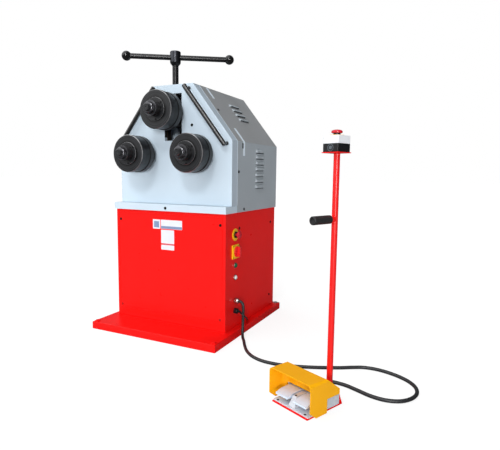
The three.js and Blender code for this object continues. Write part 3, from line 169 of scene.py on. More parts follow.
# Materials. Each is one finish: its slot, colour and gloss, then the drift of its colour and the grain of its
# surface, each with its fineness
def finish(name, slot, colour, gloss, drift, grain=(0.1, 900), metal=0.0, shine=0.5, glossDrift=0.06,
           coat=0.0, centre=(0, 0, 0), rings=0.0):
    material = bpy.data.materials.new(name)
    material.use_nodes = True
    material.diffuse_color = (*colour, 1)
    slotOf[material] = slot
    tree = material.node_tree
    add = nodeAdder(tree)
    place = add("ShaderNodeTexCoord").outputs["Object"]
    moved = add("ShaderNodeMapping", {"Vector": place, "Location": [-value for value in centre]})
    clouds = add("ShaderNodeTexNoise", {"Vector": moved, "Scale": drift[1], "Detail": 5})
    tones = add("ShaderNodeValToRGB", {"Fac": clouds})
    for element, position, change in zip(tones.color_ramp.elements, (0.3, 0.72),
                                         (1 - drift[0], 1 + drift[0] * 0.7)):
        element.position = position
        element.color = (*[min(value * change, 1) for value in colour], 1)
    smears = add("ShaderNodeTexNoise", {"Vector": moved, "Scale": drift[1] * 4, "Detail": 6})
    spread = add("ShaderNodeMapRange", {
        "Value": smears, "To Min": max(gloss - glossDrift, 0.03), "To Max": gloss + glossDrift,
    })
    fine = add("ShaderNodeTexNoise", {"Vector": moved, "Scale": grain[1], "Detail": 3})
    bump = add("ShaderNodeBump", {"Height": fine, "Strength": grain[0], "Distance": 0.0002})
    if rings:
        # fine turning marks and broad bands, both over the distance from an axis along Y
        split = add("ShaderNodeSeparateXYZ", {0: moved})
        flat = add("ShaderNodeCombineXYZ", {"X": split.outputs["X"], "Y": split.outputs["Z"]})
        away = add("ShaderNodeVectorMath", {0: flat}, operation="LENGTH").outputs["Value"]
        marks, bands = [
            add("ShaderNodeTexNoise", {"W": away, "Scale": scale, "Detail": detail}, noise_dimensions="1D")
            for scale, detail in ((900, 4), (95, 3))
        ]
        bump = add("ShaderNodeBump", {"Height": marks, "Normal": bump, "Strength": rings, "Distance": 0.0003})
        depth = add("ShaderNodeMapRange", {
            "Value": bands, "From Min": 0.36, "From Max": 0.66, "To Min": 0.15, "To Max": 2.6,
        })
        tones = add("ShaderNodeVectorMath", {0: tones, "Scale": depth}, operation="SCALE")
    setInputs(tree, tree.nodes["Principled BSDF"], {
        "Base Color": tones, "Roughness": spread, "Normal": bump, "Metallic": metal,
        "Specular IOR Level": shine, "Coat Weight": coat, "Coat Roughness": 0.12,
    })
    return material


# Settings that several finishes share
light = {"drift": (0.025, 6), "grain": (0.16, 750), "shine": 0.3}
moulded = {"drift": (0.05, 30), "grain": (0.06, 900)}
redPaint = finish("redPowderCoat", "red_paint", (0.88, 0.0075, 0.0065), 0.3, (0.03, 6), (0.14, 650),
                  shine=0.14)
standPaint = finish("standPowderCoat", "red_paint", (0.86, 0.008, 0.007), 0.3, (0.03, 6), (0.02, 300),
                    glossDrift=0.02)
yellowPaint = finish("guardYellow", "yellow_paint", (1, 0.46, 0.004), 0.4, (0.03, 6), (0.14, 700), shine=0.18)
greyPaint = finish("lightGreyPowderCoat", "light_grey_paint", (0.555, 0.66, 0.75), 0.42, **light)
# A darker copy of the plates' grey for the front plate's side faces: painted shade
edgePaint = finish("plateEdgePaint", "light_grey_paint", (0.46, 0.54, 0.615), 0.42, **light)
# A lighter copy of the plates' grey for the tabs and the seam: a painted highlight
tabPaint = finish("tabPowderCoat", "light_grey_paint", (0.74, 0.84, 0.93), 0.42, **light)
coverPaint = finish("coverPowderCoat", "mid_grey_paint", (0.385, 0.43, 0.465), 0.38, (0.035, 6), (0.16, 750),
                    shine=0.35)
# A darker, greyer copy of the cover's paint for its slopes: painted shade
slopePaint = finish("slopePowderCoat", "mid_grey_paint", (0.335, 0.345, 0.355), 0.38, (0.035, 6), (0.16, 750),
                    shine=0.3)
padPaint = finish("pedalPaint", "grey_casting", (0.62, 0.73, 0.88), 0.5, (0.05, 14), (0.3, 420), shine=0.35)
castPaint = finish("castingPaint", "grey_casting", (0.6, 0.64, 0.7), 0.5, (0.06, 14), (0.35, 420), shine=0.35)
motorPaint = finish("motorPaint", "motor_paint", (0.1, 0.13, 0.16), 0.45, (0.12, 14), (0.35, 400))
blackSteel = finish("blackenedSteel", "black_steel", (0.016, 0.0165, 0.018), 0.34, (0.35, 18), (0.12, 500),
                    shine=0.55, glossDrift=0.1)
barSteel = finish("burnishedBar", "black_steel", (0.004, 0.0042, 0.005), 0.33, (0.05, 12), (0, 200),
                  shine=0.45, glossDrift=0.01)
guideSteel = finish("groundGuide", "black_steel", (0.009, 0.0085, 0.0085), 0.31, (0.15, 20), (0.01, 900),
                    shine=1.0, glossDrift=0.01)
hubSteel = finish("blackenedHub", "black_steel", (0.075, 0.078, 0.088), 0.3, (0.2, 20), (0.06, 900),
                  metal=1.0, glossDrift=0.04)
nutSteel = finish("machinedBlack", "black_steel", (0.1, 0.1, 0.108), 0.3, (0.3, 30), (0.05, 900), metal=0.85,
                  glossDrift=0.05)
# A brighter steel for the rollers' front rims and boss edges: a painted highlight
rimSteel = finish("wornRim", "black_steel", (0.36, 0.36, 0.37), 0.36, (0.3, 60), (0.15, 900), metal=0.9)
slotSteel = finish("slotSteel", "bright_steel", (0.05, 0.045, 0.04), 0.4, (0.3, 25), (0.2, 900), metal=0.6)
# A brown metal line on the slot's walls: a painted highlight
wornBronze = finish("wornBronze", "bright_steel", (0.24, 0.15, 0.08), 0.35, (0.3, 30), (0.2, 900), metal=0.7)
brightSteel = finish("groundSteel", "bright_steel", (0.52, 0.53, 0.54), 0.28, (0.12, 20), (0.15, 900),
                     metal=1.0, glossDrift=0.1)
zincPlate = finish("zincPlated", "bright_steel", (0.6, 0.6, 0.59), 0.3, (0.12, 60), metal=1.0)
nickel = finish("nickelPlated", "nickel", (0.62, 0.61, 0.58), 0.2, (0.08, 50), metal=1.0)
bronze = finish("turnedBronze", "bronze", (0.5, 0.3, 0.12), 0.32, (0.15, 30), metal=1.0)
# Black for the screws, and for the louvers' liners and the cover's slot pads, where it is painted shade
screwBlack = finish("blackScrews", "black_steel", (0.007, 0.007, 0.008), 0.5, (0.2, 40), shine=0.15)
dullRed = finish("paintedScrews", "red_paint", (0.42, 0.008, 0.008), 0.5, (0.1, 40), shine=0.15)
redPlastic = finish("redPlastic", "red_plastic", (0.62, 0.012, 0.03), 0.26, coat=0.2, **moulded)
knobRed = finish("knobRed", "red_plastic", (0.8, 0.012, 0.015), 0.28, coat=0.2, **moulded)
yellowPlastic = finish("yellowPlastic", "yellow_plastic", (0.95, 0.56, 0.01), 0.3, **moulded)
greenPlastic = finish("greenPlastic", "green_plastic", (0.01, 0.13, 0.05), 0.24, (0.08, 60), (0.05, 900),
                      coat=0.3)
lampPlastic = finish("lampLens", "white_plastic", (0.8, 0.8, 0.79), 0.2, (0.04, 60), (0.05, 900), coat=0.3)
whitePlastic = finish("whitePlastic", "white_plastic", (0.8, 0.82, 0.85), 0.36, (0.03, 20), (0.15, 1200))
blackPlastic = finish("blackPlastic", "black_plastic", (0.008, 0.0085, 0.01), 0.36, (0.15, 25), (0.2, 1200),
                      shine=0.4)
knockOutPlastic = finish("knockOutPlastic", "black_plastic", (0.1, 0.12, 0.14), 0.3, (0.1, 40))
ballPlastic = finish("ballPlastic", "black_plastic", (0.006, 0.006, 0.006), 0.12, (0.1, 30), (0.03, 900),
                     glossDrift=0.03)
gripRubber = finish("gripRubber", "black_rubber", (0.018, 0.018, 0.019), 0.6, (0.15, 30), (0.4, 800))
cableSheath = finish("cableSheath", "black_rubber", (0.02, 0.021, 0.023), 0.42, (0.15, 30), (0.2, 700))
plateWhite = finish("plateWhite", "white_plastic", (0.72, 0.75, 0.82), 0.3, (0.04, 30), (0.05, 900))
plateBlue = finish("plateBlue", "white_plastic", (0.2, 0.28, 0.45), 0.3, (0.06, 30), (0.05, 900))
plateRed = finish("plateRed", "white_plastic", (0.55, 0.12, 0.16), 0.3, (0.06, 30), (0.05, 900))
print("materials ready")


def camel(words):
    return "".join(word.capitalize() if i else word for i, word in enumerate(words.split("_")))


# Faces and axes of the machine that many pieces share
cabinetSide, cabinetFront, cabinetRear, coverSide, controlY = 325, -229.5, 364.5, 331, -133.5
plateFront, spindleY = -180.2, -156.2
# A piece takes the place of the node of its name, where there is one
nodeNamed = {camel(node): node for node in nodes}
# From a drawing's (u, v, w) to (x, y, z), by the axis that w runs along
axisMaps = {
    "x": Matrix(((0, 0, 1), (1, 0, 0), (0, 1, 0))),
    "y": Matrix(((1, 0, 0), (0, 0, 1), (0, 1, 0))),
    "z": Matrix(((1, 0, 0), (0, 1, 0), (0, 0, 1))),
}


def placedAt(x, y, z, angle, axis="Z"):
    return Matrix.Translation(Vector((x, y, z)) * 0.001) @ Matrix.Rotation(angle, 4, axis)


inStand = placedAt(863, -615.3, 0, math.radians(-24.26))


def low(node):
    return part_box(node)[0] * 1000


def high(node):
    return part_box(node)[1] * 1000


def pieceFrom(name, mesh, body=None, slot=None, stands=()):
    if not stands and name in nodeNamed:
        stands = (nodeNamed[name],)
    piece = bpy.data.objects.new(name, mesh)
    scene.collection.objects.link(piece)
    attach(piece, body or (nodeBody[stands[0]] if stands else "frame"))
    slot or slotOf[mesh.materials[0]]
    if stands:
        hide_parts(*stands)
    return piece


# Corner normals weighted by face area, so that big flat faces stay flat beside their eased edges
def cornerNormals(bm):
    bm.normal_update()
    areas = {face: face.calc_area() for face in bm.faces}
    found = {}
    for vert in bm.verts:
        left = set(vert.link_faces)
        while left:
            group = [left.pop()]
            for face in group:
                for edge in face.edges:
                    if vert in edge.verts and edge.smooth:
                        for other in edge.link_faces:
                            if other in left:
                                left.remove(other)
                                group.append(other)
            most = max(areas[face] for face in group)
            total = Vector((0, 0, 0))
            for face in group:
                if areas[face] > 0.05 * most:
                    total += face.normal * areas[face]
            if total.length < 1e-12:
                total = group[0].normal.copy()
            total.normalize()
            for face in group:
                found[face, vert] = total
    return [found[face, vert] for face in bm.faces for vert in face.verts]


# Turns a drawing into a mesh: smooth faces, hard edges above an angle in degrees, corner normals by area
def shadedMesh(name, bm, materials, sharp):
    for face in bm.faces:
        face.smooth = True
    for edge in bm.edges:
        edge.smooth = not (len(edge.link_faces) == 2 and edge.calc_face_angle(0) > math.radians(sharp))
    normals = cornerNormals(bm)
    mesh = bpy.data.meshes.new(name)
    bm.to_mesh(mesh)
    bm.free()
    if mesh.attributes.get("custom_normal"):
        mesh.attributes.remove(mesh.attributes["custom_normal"])
    stored = mesh.attributes.new("custom_normal", "FLOAT_VECTOR", "CORNER")
    for place, normal in zip(stored.data, normals):
        place.vector = normal
    for material in materials if isinstance(materials, list) else [materials]:
        mesh.materials.append(material)
    return mesh


# The angle between two faces, in degrees, from which their edge stays hard
hardEdge = 32


# Closes a drawing made in millimetres: scale, place, and turn every face outwards
def meshFrom(name, bm, materials, within=None, sharp=hardEdge):
    bmesh.ops.remove_doubles(bm, verts=bm.verts, dist=1e-4)
    bmesh.ops.recalc_face_normals(bm, faces=bm.faces)
    bm.transform(Matrix.Scale(0.001, 4))
    if within:
        bm.transform(within)
    return shadedMesh(name, bm, materials, sharp)


# Rounds the corners of a profile (radius, along) or outline (u, v); a third number is a corner's own radius
def eased(points, radius, closed, steps=3):
    straight = math.radians(172)
    result = []
    count = len(points)
    for i, point in enumerate(points):
        here = Vector(point[:2])
        own = point[2] if len(point) > 2 else radius
        before = Vector(points[(i - 1) % count][:2]) - here
        after = Vector(points[(i + 1) % count][:2]) - here
        kept = not closed and i in (0, count - 1) or before.length < 1e-6 or after.length < 1e-6 or own <= 0
        if kept or before.angle(after) > straight:
            result.append(tuple(here))
            continue
        reach = min(own / math.tan(before.angle(after) / 2), 0.45 * before.length, 0.45 * after.length)
        start = here + before.normalized() * reach
        end = here + after.normalized() * reach
        for k in range(steps + 1):
            t = k / steps
            result.append(tuple(start * (1 - t) ** 2 + here * 2 * t * (1 - t) + end * t * t))
    return result


# Joins each ring of points to the next, and the last to the first if around. A ring can be one point.
def joinRings(bm, rings, around=False, capped=False):
    bands = []
    for first, second in list(zip(rings, rings[1:])) + ([(rings[-1], rings[0])] if around else []):
        count = max(len(first), len(second))
        band = []
        for k in range(count if count > 1 else 0):
            n = (k + 1) % count
            corners = (first[k % len(first)], second[k % len(second)], second[n % len(second)],
                       first[n % len(first)])
            band.append(bm.faces.new(list(dict.fromkeys(corners))))
        bands.append(band)
    if capped:
        bm.faces.new(rings[0])
        bm.faces.new(rings[-1])
    return bands


# A turned piece. Its profile runs from axis to axis, or round in a ring; start moves it along the axis.
def turnedDrawing(profile, axis, centre, sides=72, ease=0.6, shape=None, paint=None, start=0):
    solid = profile[0][0] == 0
    line = eased([(radius, along + start) for radius, along in profile], ease, closed=not solid)
    toPlace = axisMaps[axis]
    bm = bmesh.new()
    rings = []
    for radius, along in line:
        if solid and radius < 1e-6:
            rings.append([bm.verts.new(toPlace @ Vector((*centre, along)))])
            continue
        loop = []
        for k in range(sides):
            angle = 2 * math.pi * k / sides
            reach = shape(angle, radius, along) if shape else radius
            place = Vector((centre[0] + reach * math.cos(angle), centre[1] + reach * math.sin(angle), along))
            loop.append(bm.verts.new(toPlace @ place))
        rings.append(loop)
    bands = joinRings(bm, rings, around=not solid)
    if paint:
        for band, p, q in zip(bands, line, line[1:] + line[:1]):
            for face in band:
                face.material_index = paint((p[0] + q[0]) / 2, (p[1] + q[1]) / 2)
    return bm


def turnedPiece(name, profile, axis, centre, materials, stands=(), within=None, body=None, slot=None,
                **drawing):
    bm = turnedDrawing(profile, axis, centre, **drawing)
    return pieceFrom(name, meshFrom(name, bm, materials, within), body, slot, stands)


# A flat outline (u, v) pushed along an axis, its edges eased by a bevel
def pushedDrawing(outline, axis, foot, top, edge):
    toPlace = axisMaps[axis]
    bm = bmesh.new()
    base, lid = [[bm.verts.new(toPlace @ Vector((u, v, w))) for u, v in outline] for w in (foot, top)]
    bm.faces.new(base)
    bm.faces.new(lid)
    for k in range(len(outline)):
        n = (k + 1) % len(outline)
        bm.faces.new((base[k], base[n], lid[n], lid[k]))
    bmesh.ops.recalc_face_normals(bm, faces=bm.faces)
    easeEdges(bm, [e for e in bm.edges if e.calc_face_angle(0) > math.radians(28)], edge, 2)
    return bm


def easeEdges(bm, edges, width, steps):
    bmesh.ops.bevel(bm, geom=edges, offset=width, segments=steps, profile=0.5, affect="EDGES",
                    clamp_overlap=True)


def pushedPiece(name, outline, axis, foot, top, materials, stands=(), within=None, edge=0.8, body=None):
    bm = pushedDrawing(outline, axis, foot, top, edge)
    return pieceFrom(name, meshFrom(name, bm, materials, within), body, None, stands)


def rectangle(u0, u1, v0, v1, corner):
    return eased([(u0, v0), (u1, v0), (u1, v1), (u0, v1)], corner, closed=True, steps=5)


# The profile of a ring, or of a disc where the inner radius is 0
def ring(inner, outer, foot, top):
    return [(inner, foot), (outer, foot), (outer, top), (inner, top)]


def square(u, v, half, corner):
    return rectangle(u - half, u + half, v - half, v + half, corner)


# A copy of a node with its flat faces joined and its edges eased, as sheet and castings really are.
# The folds, a test of an edge's ends and a radius, are rounded first.
def easedCopy(node, edge, materials, paint=None, folds=None, steps=2, slot=None):
    bm = bmesh.new()
    bm.from_mesh(nodes[node].data)
    bm.transform(Matrix.Scale(1000, 4))
    bmesh.ops.remove_doubles(bm, verts=bm.verts, dist=0.01)
    bmesh.ops.dissolve_limit(bm, angle_limit=math.radians(0.6), verts=bm.verts, edges=bm.edges)

    def hardEdges():
        return [e for e in bm.edges if len(e.link_faces) == 2 and e.calc_face_angle(0) > math.radians(25)]

    if folds:
        easeEdges(bm, [e for e in hardEdges() if folds[0](e.verts[0].co, e.verts[1].co)], folds[1], 5)
    easeEdges(bm, hardEdges(), edge, steps)
    bm.normal_update()
    if paint:
        for face in bm.faces:
            face.material_index = paint(face.calc_center_median(), face.normal)
    bm.transform(Matrix.Scale(0.001, 4))
    name = camel(node)
    return pieceFrom(name, shadedMesh(name, bm, materials, hardEdge + 2), slot=slot)


# Geometry Nodes: one tree repeats an item along a line, one round an axis, one at given points
def newTree(name, inputs):
    tree = bpy.data.node_groups.new(name, "GeometryNodeTree")
    add = nodeAdder(tree)
    for label, kind in [("Geometry", "Geometry"), ("Item", "Object"), ("Material", "Material"), *inputs]:
        tree.interface.new_socket(label, in_out="INPUT", socket_type="NodeSocket" + kind)
    tree.interface.new_socket("Geometry", in_out="OUTPUT", socket_type="NodeSocketGeometry")
    entry = add("NodeGroupInput").outputs
    item = add("GeometryNodeObjectInfo", {"Object": entry["Item"]}).outputs["Geometry"]

    def close(geometry):
        coloured = add("GeometryNodeSetMaterial", {"Geometry": geometry, "Material": entry["Material"]})
        add("NodeGroupOutput", {"Geometry": coloured})
        return tree
    return add, entry, item, close


def lineTree():
    inputs = [("Count", "Int"), ("Start", "Vector"), ("Step", "Vector"), ("Turn", "Rotation")]
    add, entry, item, close = newTree("rowOfItems", inputs)
    row = add("GeometryNodeMeshLine", {
        "Count": entry["Count"], "Start Location": entry["Start"], "Offset": entry["Step"],
    })
    copies = add("GeometryNodeInstanceOnPoints", {"Points": row, "Instance": item, "Rotation": entry["Turn"]})
    return close(add("GeometryNodeRealizeInstances", {"Geometry": copies}))


def circleTree():
    add, entry, item, close = newTree("itemsRoundAnAxis", [
        ("Count", "Int"), ("Radius", "Float"), ("Phase", "Float"), ("Centre", "Vector"), ("Turn", "Rotation"),
    ])
    circle = add("GeometryNodeMeshCircle", {"Vertices": entry["Count"], "Radius": entry["Radius"]})
    index = add("GeometryNodeInputIndex")
    share = add("ShaderNodeMath", {0: index, 1: entry["Count"]}, operation="DIVIDE")
    angle = add("ShaderNodeMath", {0: share, 1: 2 * math.pi}, operation="MULTIPLY")
    about = add("ShaderNodeCombineXYZ", {"Z": angle})
    copies = add("GeometryNodeInstanceOnPoints", {"Points": circle, "Instance": item, "Rotation": about})
    whole = add("GeometryNodeRealizeInstances", {"Geometry": copies})
    phase = add("ShaderNodeCombineXYZ", {"Z": entry["Phase"]})
    spun = add("GeometryNodeTransform", {"Geometry": whole, "Rotation": phase})
    return close(add("GeometryNodeTransform", {
        "Geometry": spun, "Rotation": entry["Turn"], "Translation": entry["Centre"],
    }))


def pointsTree():
    add, entry, item, close = newTree("itemsAtPoints", [("Facing", "Vector"), ("Seed", "Int")])
    facing = add("FunctionNodeAlignRotationToVector", {"Vector": entry["Facing"]}, axis="Z")
    copies = add("GeometryNodeInstanceOnPoints", {
        "Points": entry["Geometry"], "Instance": item, "Rotation": facing,
    })
    chance = add("FunctionNodeRandomValue", {3: 2 * math.pi, "Seed": entry["Seed"]}, data_type="FLOAT")
    about = add("ShaderNodeCombineXYZ", {"Z": chance.outputs[1]})
    driven = add("GeometryNodeRotateInstances", {"Instances": copies, "Rotation": about})
    return close(add("GeometryNodeRealizeInstances", {"Geometry": driven}))


trees = {"row": lineTree(), "circle": circleTree(), "points": pointsTree()}
items = {}


# Runs a tree on some points and keeps the result as a plain piece
def repeated(name, kind, item, material, body=None, points=((0, 0, 0),), within=None, **values):
    base = bpy.data.meshes.new(name + "Points")
    base.from_pydata([Vector(point) * 0.001 for point in points], [], [])
    carrier = bpy.data.objects.new(name + "Carrier", base)
    scene.collection.objects.link(carrier)
    modifier = carrier.modifiers.new("nodes", "NODES")
    modifier.node_group = trees[kind]
    entries = [s for s in trees[kind].interface.items_tree if s.item_type == "SOCKET" and s.in_out == "INPUT"]
    sockets = {entry.name: entry.identifier for entry in entries}
    for label, value in {"item": items[item], "material": material, **values}.items():
        if label in ("start", "step", "centre", "radius"):
            value = value * 0.001
        modifier[sockets[label.capitalize()]] = value
    graph = bpy.context.evaluated_depsgraph_get()
    graph.update()
    mesh = bpy.data.meshes.new_from_object(carrier.evaluated_get(graph))
    mesh.name = name
    if within:
        mesh.transform(within)
    bpy.data.objects.remove(carrier)
    print("  repeated", name, len(mesh.polygons), "faces")
    return pieceFrom(name, mesh, body, slotOf[material])


# Items that the trees repeat, drawn at the origin facing +Z and removed at the end
def keepItem(label, bm, sharp=hardEdge):
    item = bpy.data.objects.new("item" + label, meshFrom(label, bm, [], None, sharp))
    scene.collection.objects.link(item)
    item.hide_render = True
    items[label] = item


# How far a hexagon reaches at an angle, by the reach of its corners
def hexReach(angle, corner):
    third = math.pi / 3
    return corner * math.cos(third / 2) / math.cos(angle % third - third / 2)


def hexagon(flats):
    turn = math.pi / 6
    return lambda angle, radius, along: min(radius, hexReach(angle + turn, flats / 2 / math.cos(turn)))


# A socket head screw or a button head: turned, with a six-sided recess
def screwItem(label, radius, height, dome, recess):
    floor = height * 0.35
    profile = [(0, -1.5), (radius, -1.5), (radius, height - dome), (radius - dome, height),
               (recess * 1.15, height), (recess, height - 0.2), (recess, floor), (0, floor)]
    keepItem(label, turnedDrawing(
        profile, "z", (0, 0), sides=36, ease=min(dome, 0.4),
        shape=lambda angle, reach, along: reach if reach > recess * 1.02 else hexReach(angle, reach),
    ))


# A pressed louver: a quarter-round hood along X, closed at both ends, open towards -Y
def louverItem(label, length, depth, rise, rows=24, columns=8, fade=9, wall=1.5, skin=1.2, sunk=0.3):
    bm = bmesh.new()
    rings = []
    for k in range(rows + 1):
        along = -length / 2 + length * k / rows
        swell = math.sin(min(1, (length / 2 - abs(along)) / fade) * math.pi / 2)
        angles = [j / columns * math.pi / 2 for j in range(columns + 1)]
        outer = [(along, -depth / 2 + depth * math.sin(a), swell * rise * math.cos(a) - sunk) for a in angles]
        inside = max(swell * rise - skin, -sunk)
        inner = [(along, -depth / 2 + (depth - wall) * math.sin(a), inside * math.cos(a) - 2 * sunk)
                 for a in reversed(angles)]
        rings.append([bm.verts.new(point) for point in outer + inner])
    joinRings(bm, rings, capped=True)
    keepItem(label, bm, sharp=50)


def ribItem(label, width, height, length):
    outline = rectangle(-height, height, -width / 2, width / 2, width * 0.3)
    keepItem(label, pushedDrawing(outline, "z", 0, length, width * 0.2))


# A floor bolt's hexagon head on its round washer
def boltShape(angle, radius, along):
    washer, corner = 2.05, 10.5
    return radius if along < washer or radius < 1 else min(radius, hexReach(angle, corner))


screwItem("PanelScrew", 7.2, 2.2, 1.4, 3.2)
screwItem("SmallScrew", 4.2, 2.4, 1.2, 1.7)
screwItem("CapScrew", 6, 6, 0.8, 2.9)
boltProfile = [(0, 0), (15, 0), (15, 2), (11, 2.1), (11, 5), (8.6, 6), (0, 6)]
keepItem("FloorBolt", turnedDrawing(boltProfile, "z", (0, 0), sides=48, ease=0.3, shape=boltShape))
louverItem("Louver", 104, 17, 8)
# A black liner inside each hood: painted shade in its mouth
louverItem("LouverShade", 101, 15.2, 6.3)
ribItem("KnobRib", 2.6, 1.6, 7)
ribItem("GlandRib", 1.8, 1.1, 9)
print("items ready")


# Cords first: the control cable seen from end to end, and the mains cord with its coil behind the base
def fromStand(x, y, z):
    return tuple(inStand @ (Vector((x, y, z)) * 0.001) * 1000)


cable = {"radius": 7, "sides": 20, "step": 7, "route": [
    (349.6, -133.5, 172), (355.6, -133.5, 172), (365, -133.5, 167), (373, -133.5, 155), (374, -134, 135),
    (374, -134.5, 105), (374, -136, 68), (375, -140, 40), (379, -150, 20), (391, -171, 8), (414, -206, 7.5),
    (443, -256, 7.5), (484, -315, 7.5), (530, -356, 7.5), (583, -379, 7.5), (640, -384, 7.5),
    (700, -376, 7.5), (766, -356, 7.5), (835, -328, 7.5), (901, -296, 7.5), (944, -270, 7.5),
    (985, -250, 7.5), (1035, -245, 7.5), (1085, -255, 7.5), (1133, -276, 7.5), (1172, -306, 7.5),
    (1197, -345, 7.5), (1204, -392, 7.5), (1190, -438, 7.5), (1158, -474, 7.5), (1110, -490, 7.5),
    (1057, -483, 7.5), (1005, -461, 7.5), (955, -441, 7.5), (912, -436, 7.5), (886, -449, 12),
    fromStand(-38.5, 123.8, 26), fromStand(-38.5, 109.8, 26),
]}
coil = {"turns": 4, "steps": 24, "outer": 62, "pitch": 7.8, "layer": 7.8, "centre": (120, 485), "height": 4}
coilX, coilY = coil["centre"]
mains = {"radius": 3.5, "sides": 14, "step": 6, "route": [
    (349.6, -133.5, 121), (355.6, -133.5, 121), (364, -143, 119), (376, -152, 115), (385, -152, 110),
    (388, -141, 102), (382, -122, 93), (360, -66, 66), (345, -33, 53), (335, -8.5, 46), (331.3, 2, 38),
    (331, 3.5, 29), (331, 10, 17), (331, 32, 8), (331, 70, 5), (331, 200, 4.5), (331, 385, 4.5),
    (328, 412, 4.5), (308, 436, 4.5), (262, 443, 4.5), (210, 447, 4.5), (188, 458, 4.5),
    (coilX + coil["outer"], coilY - 10, coil["height"]), (coilX + coil["outer"], coilY - 0.3, coil["height"]),
]}
plug = {"radius": 17, "length": 52, "pin": 2.4, "pinLength": 19, "pinSpacing": 19, "collars": 6}
tie = {"angle": 215, "turnsIn": 0.9, "height": 8.2, "half": 3, "across": 14.5, "up": 8, "corner": 5,
       "wall": 1.1}
relief = {"length": 30, "radius": 6.4, "lip": 0.4, "sides": 20}


# A centripetal Catmull-Rom curve through the points, sampled about every step millimetres
def smoothRoute(points, step):
    points = [Vector(point) for point in points]
    ends = [2 * points[0] - points[1]] + points + [2 * points[-1] - points[-2]]
    result = []
    for i in range(1, len(ends) - 2):
        p0, p1, p2, p3 = ends[i - 1:i + 3]
        d0, d1, d2 = [max((b - a).length, 1e-4) ** 0.5 for a, b in ((p0, p1), (p1, p2), (p2, p3))]
        leave = ((p1 - p0) / d0 - (p2 - p0) / (d0 + d1) + (p2 - p1) / d1) * d1
        enter = ((p2 - p1) / d1 - (p3 - p1) / (d1 + d2) + (p3 - p2) / d2) * d1
        count = max(2, round((p2 - p1).length / step))
        for k in range(count):
            t = k / count
            result.append(
                p1 * (2 * t ** 3 - 3 * t ** 2 + 1) + leave * (t ** 3 - 2 * t ** 2 + t)
                + p2 * (-2 * t ** 3 + 3 * t ** 2) + enter * (t ** 3 - t ** 2)
            )
    result.append(points[-1])
    return result


# Two layers of a flat coil: inwards below, a climb over one turn, outwards above, and a tail to the plug
def coilRoute():
    turns = coil["turns"]
    lead = math.asin(2 * mains["radius"] / coil["outer"])
    points = []
    for i in range(turns * coil["steps"] + 1):
        turn = i / coil["steps"]
        climb = min(max(2 * (turn - turns / 2 + 0.5), 0), 1) * math.pi / 2
        inward = turns - 1 - turn + math.sin(climb) if 0 < climb < math.pi / 2 else min(turn, turns - turn)
        radius = coil["outer"] - coil["pitch"] * inward
        angle = lead + 2 * math.pi * turn
        points.append(Vector((
            coilX + radius * math.cos(angle), coilY + radius * math.sin(angle),
            coil["height"] + coil["layer"] * (1 - math.cos(climb)),
        )))
    x, y, z = points[-1]
    rise = plug["radius"] + 0.5 - z
    for i, share in enumerate((0.15, 0.6, 1, 1), 1):
        points.append(Vector((x - 1.2 * i, y + 24 * i, z + rise * share)))
    return points


# A tube along a route, its ring carried along without twist, or set by a fixed side
def tubeMesh(name, route, radii, sides, material, fixed=None):
    bm = bmesh.new()
    rings = []
    side = None
    last = len(route) - 1
    for i, (point, radius) in enumerate(zip(route, radii)):
        along = (route[min(i + 1, last)] - route[max(i - 1, 0)]).normalized()
        side = fixed or side or along.cross(Vector((0, 0, 1)))
        side = (side - along * side.dot(along)).normalized()
        rise = side.cross(along)
        angles = [2 * math.pi * k / sides for k in range(sides)]
        rings.append([bm.verts.new(point + radius * (side * math.cos(a) + rise * math.sin(a)))
                      for a in angles])
    joinRings(bm, rings, capped=True)
    return meshFrom(name, bm, material)


def routeLength(route):
    return sum((b - a).length for a, b in zip(route, route[1:]))


def cordPiece(name, cord, route, stands):
    mesh = tubeMesh(name, route, [cord["radius"]] * len(route), cord["sides"], cableSheath)
    return pieceFrom(name, mesh, stands=stands)


cableLine = smoothRoute(cable["route"], cable["step"])
pedalCable = cordPiece("pedalCable", cable, cableLine, ("pedal_cable",))
mainsLine = smoothRoute(mains["route"], mains["step"]) + smoothRoute(coilRoute(), mains["step"])
mainsCord = cordPiece("mainsCord", mains, mainsLine, ("mains_cord", "mains_coil"))


# The plug at the coil's end: a ribbed neck, a round body and two pins
def mainsPlug():
    along = (mainsLine[-1] - mainsLine[-4]).normalized()
    at = placedAt(*mainsLine[-1], math.atan2(along.y, along.x) - math.pi / 2)
    profile = [(0, 0.3), (mains["radius"] + 1.2, 0.3)]
    for k in range(plug["collars"]):
        base, thick = 2 + 3 * k, mains["radius"] + 2 + 0.25 * k
        profile += [(thick, base), (thick, base + 1.7), (thick - 1, base + 1.8), (thick - 1, base + 2.8)]
    profile += [(plug["radius"] - 3, 23), (plug["radius"], 29), (plug["radius"], plug["length"]),
                (0, plug["length"])]
    pieces = [turnedPiece("mainsPlug", profile, "y", (0, 0), blackPlastic, within=at, ease=0.8)]
    foot, tip = plug["length"] - 1, plug["length"] + plug["pinLength"]
    for side, name in ((-1, "plugPinLeft"), (1, "plugPinRight")):
        pieces.append(turnedPiece(name, ring(0, plug["pin"], foot, tip), "y",
                                  (side * plug["pinSpacing"] / 2, 0), nickel, within=at, sides=24, ease=1.6))
    return pieces


# The tie that holds the coil: a flat band round its turns
def coilTie():
    angle = math.radians(tie["angle"])
    reach = coil["outer"] - coil["pitch"] * tie["turnsIn"]
    at = placedAt(coilX + reach * math.cos(angle), coilY + reach * math.sin(angle), tie["height"],
                  angle + math.pi / 2)
    a, b, half = tie["across"], tie["up"], tie["half"]
    outer = rectangle(-a, a, -b, b, tie["corner"])
    a, b = a - tie["wall"], b - tie["wall"]
    inner = rectangle(-a, a, -b, b, tie["corner"] - 0.8)
    bm = bmesh.new()
    lines = ((-half, outer), (half, outer), (half, inner), (-half, inner))
    joinRings(bm, [[bm.verts.new((x, u, v)) for u, v in line] for x, line in lines], around=True)
    return pieceFrom("coilTie", meshFrom("coilTie", bm, blackPlastic, at))


plugPieces = mainsPlug()
coilTie()
print("cords laid:", round(routeLength(cableLine)), "and", round(routeLength(mainsLine)), "mm")


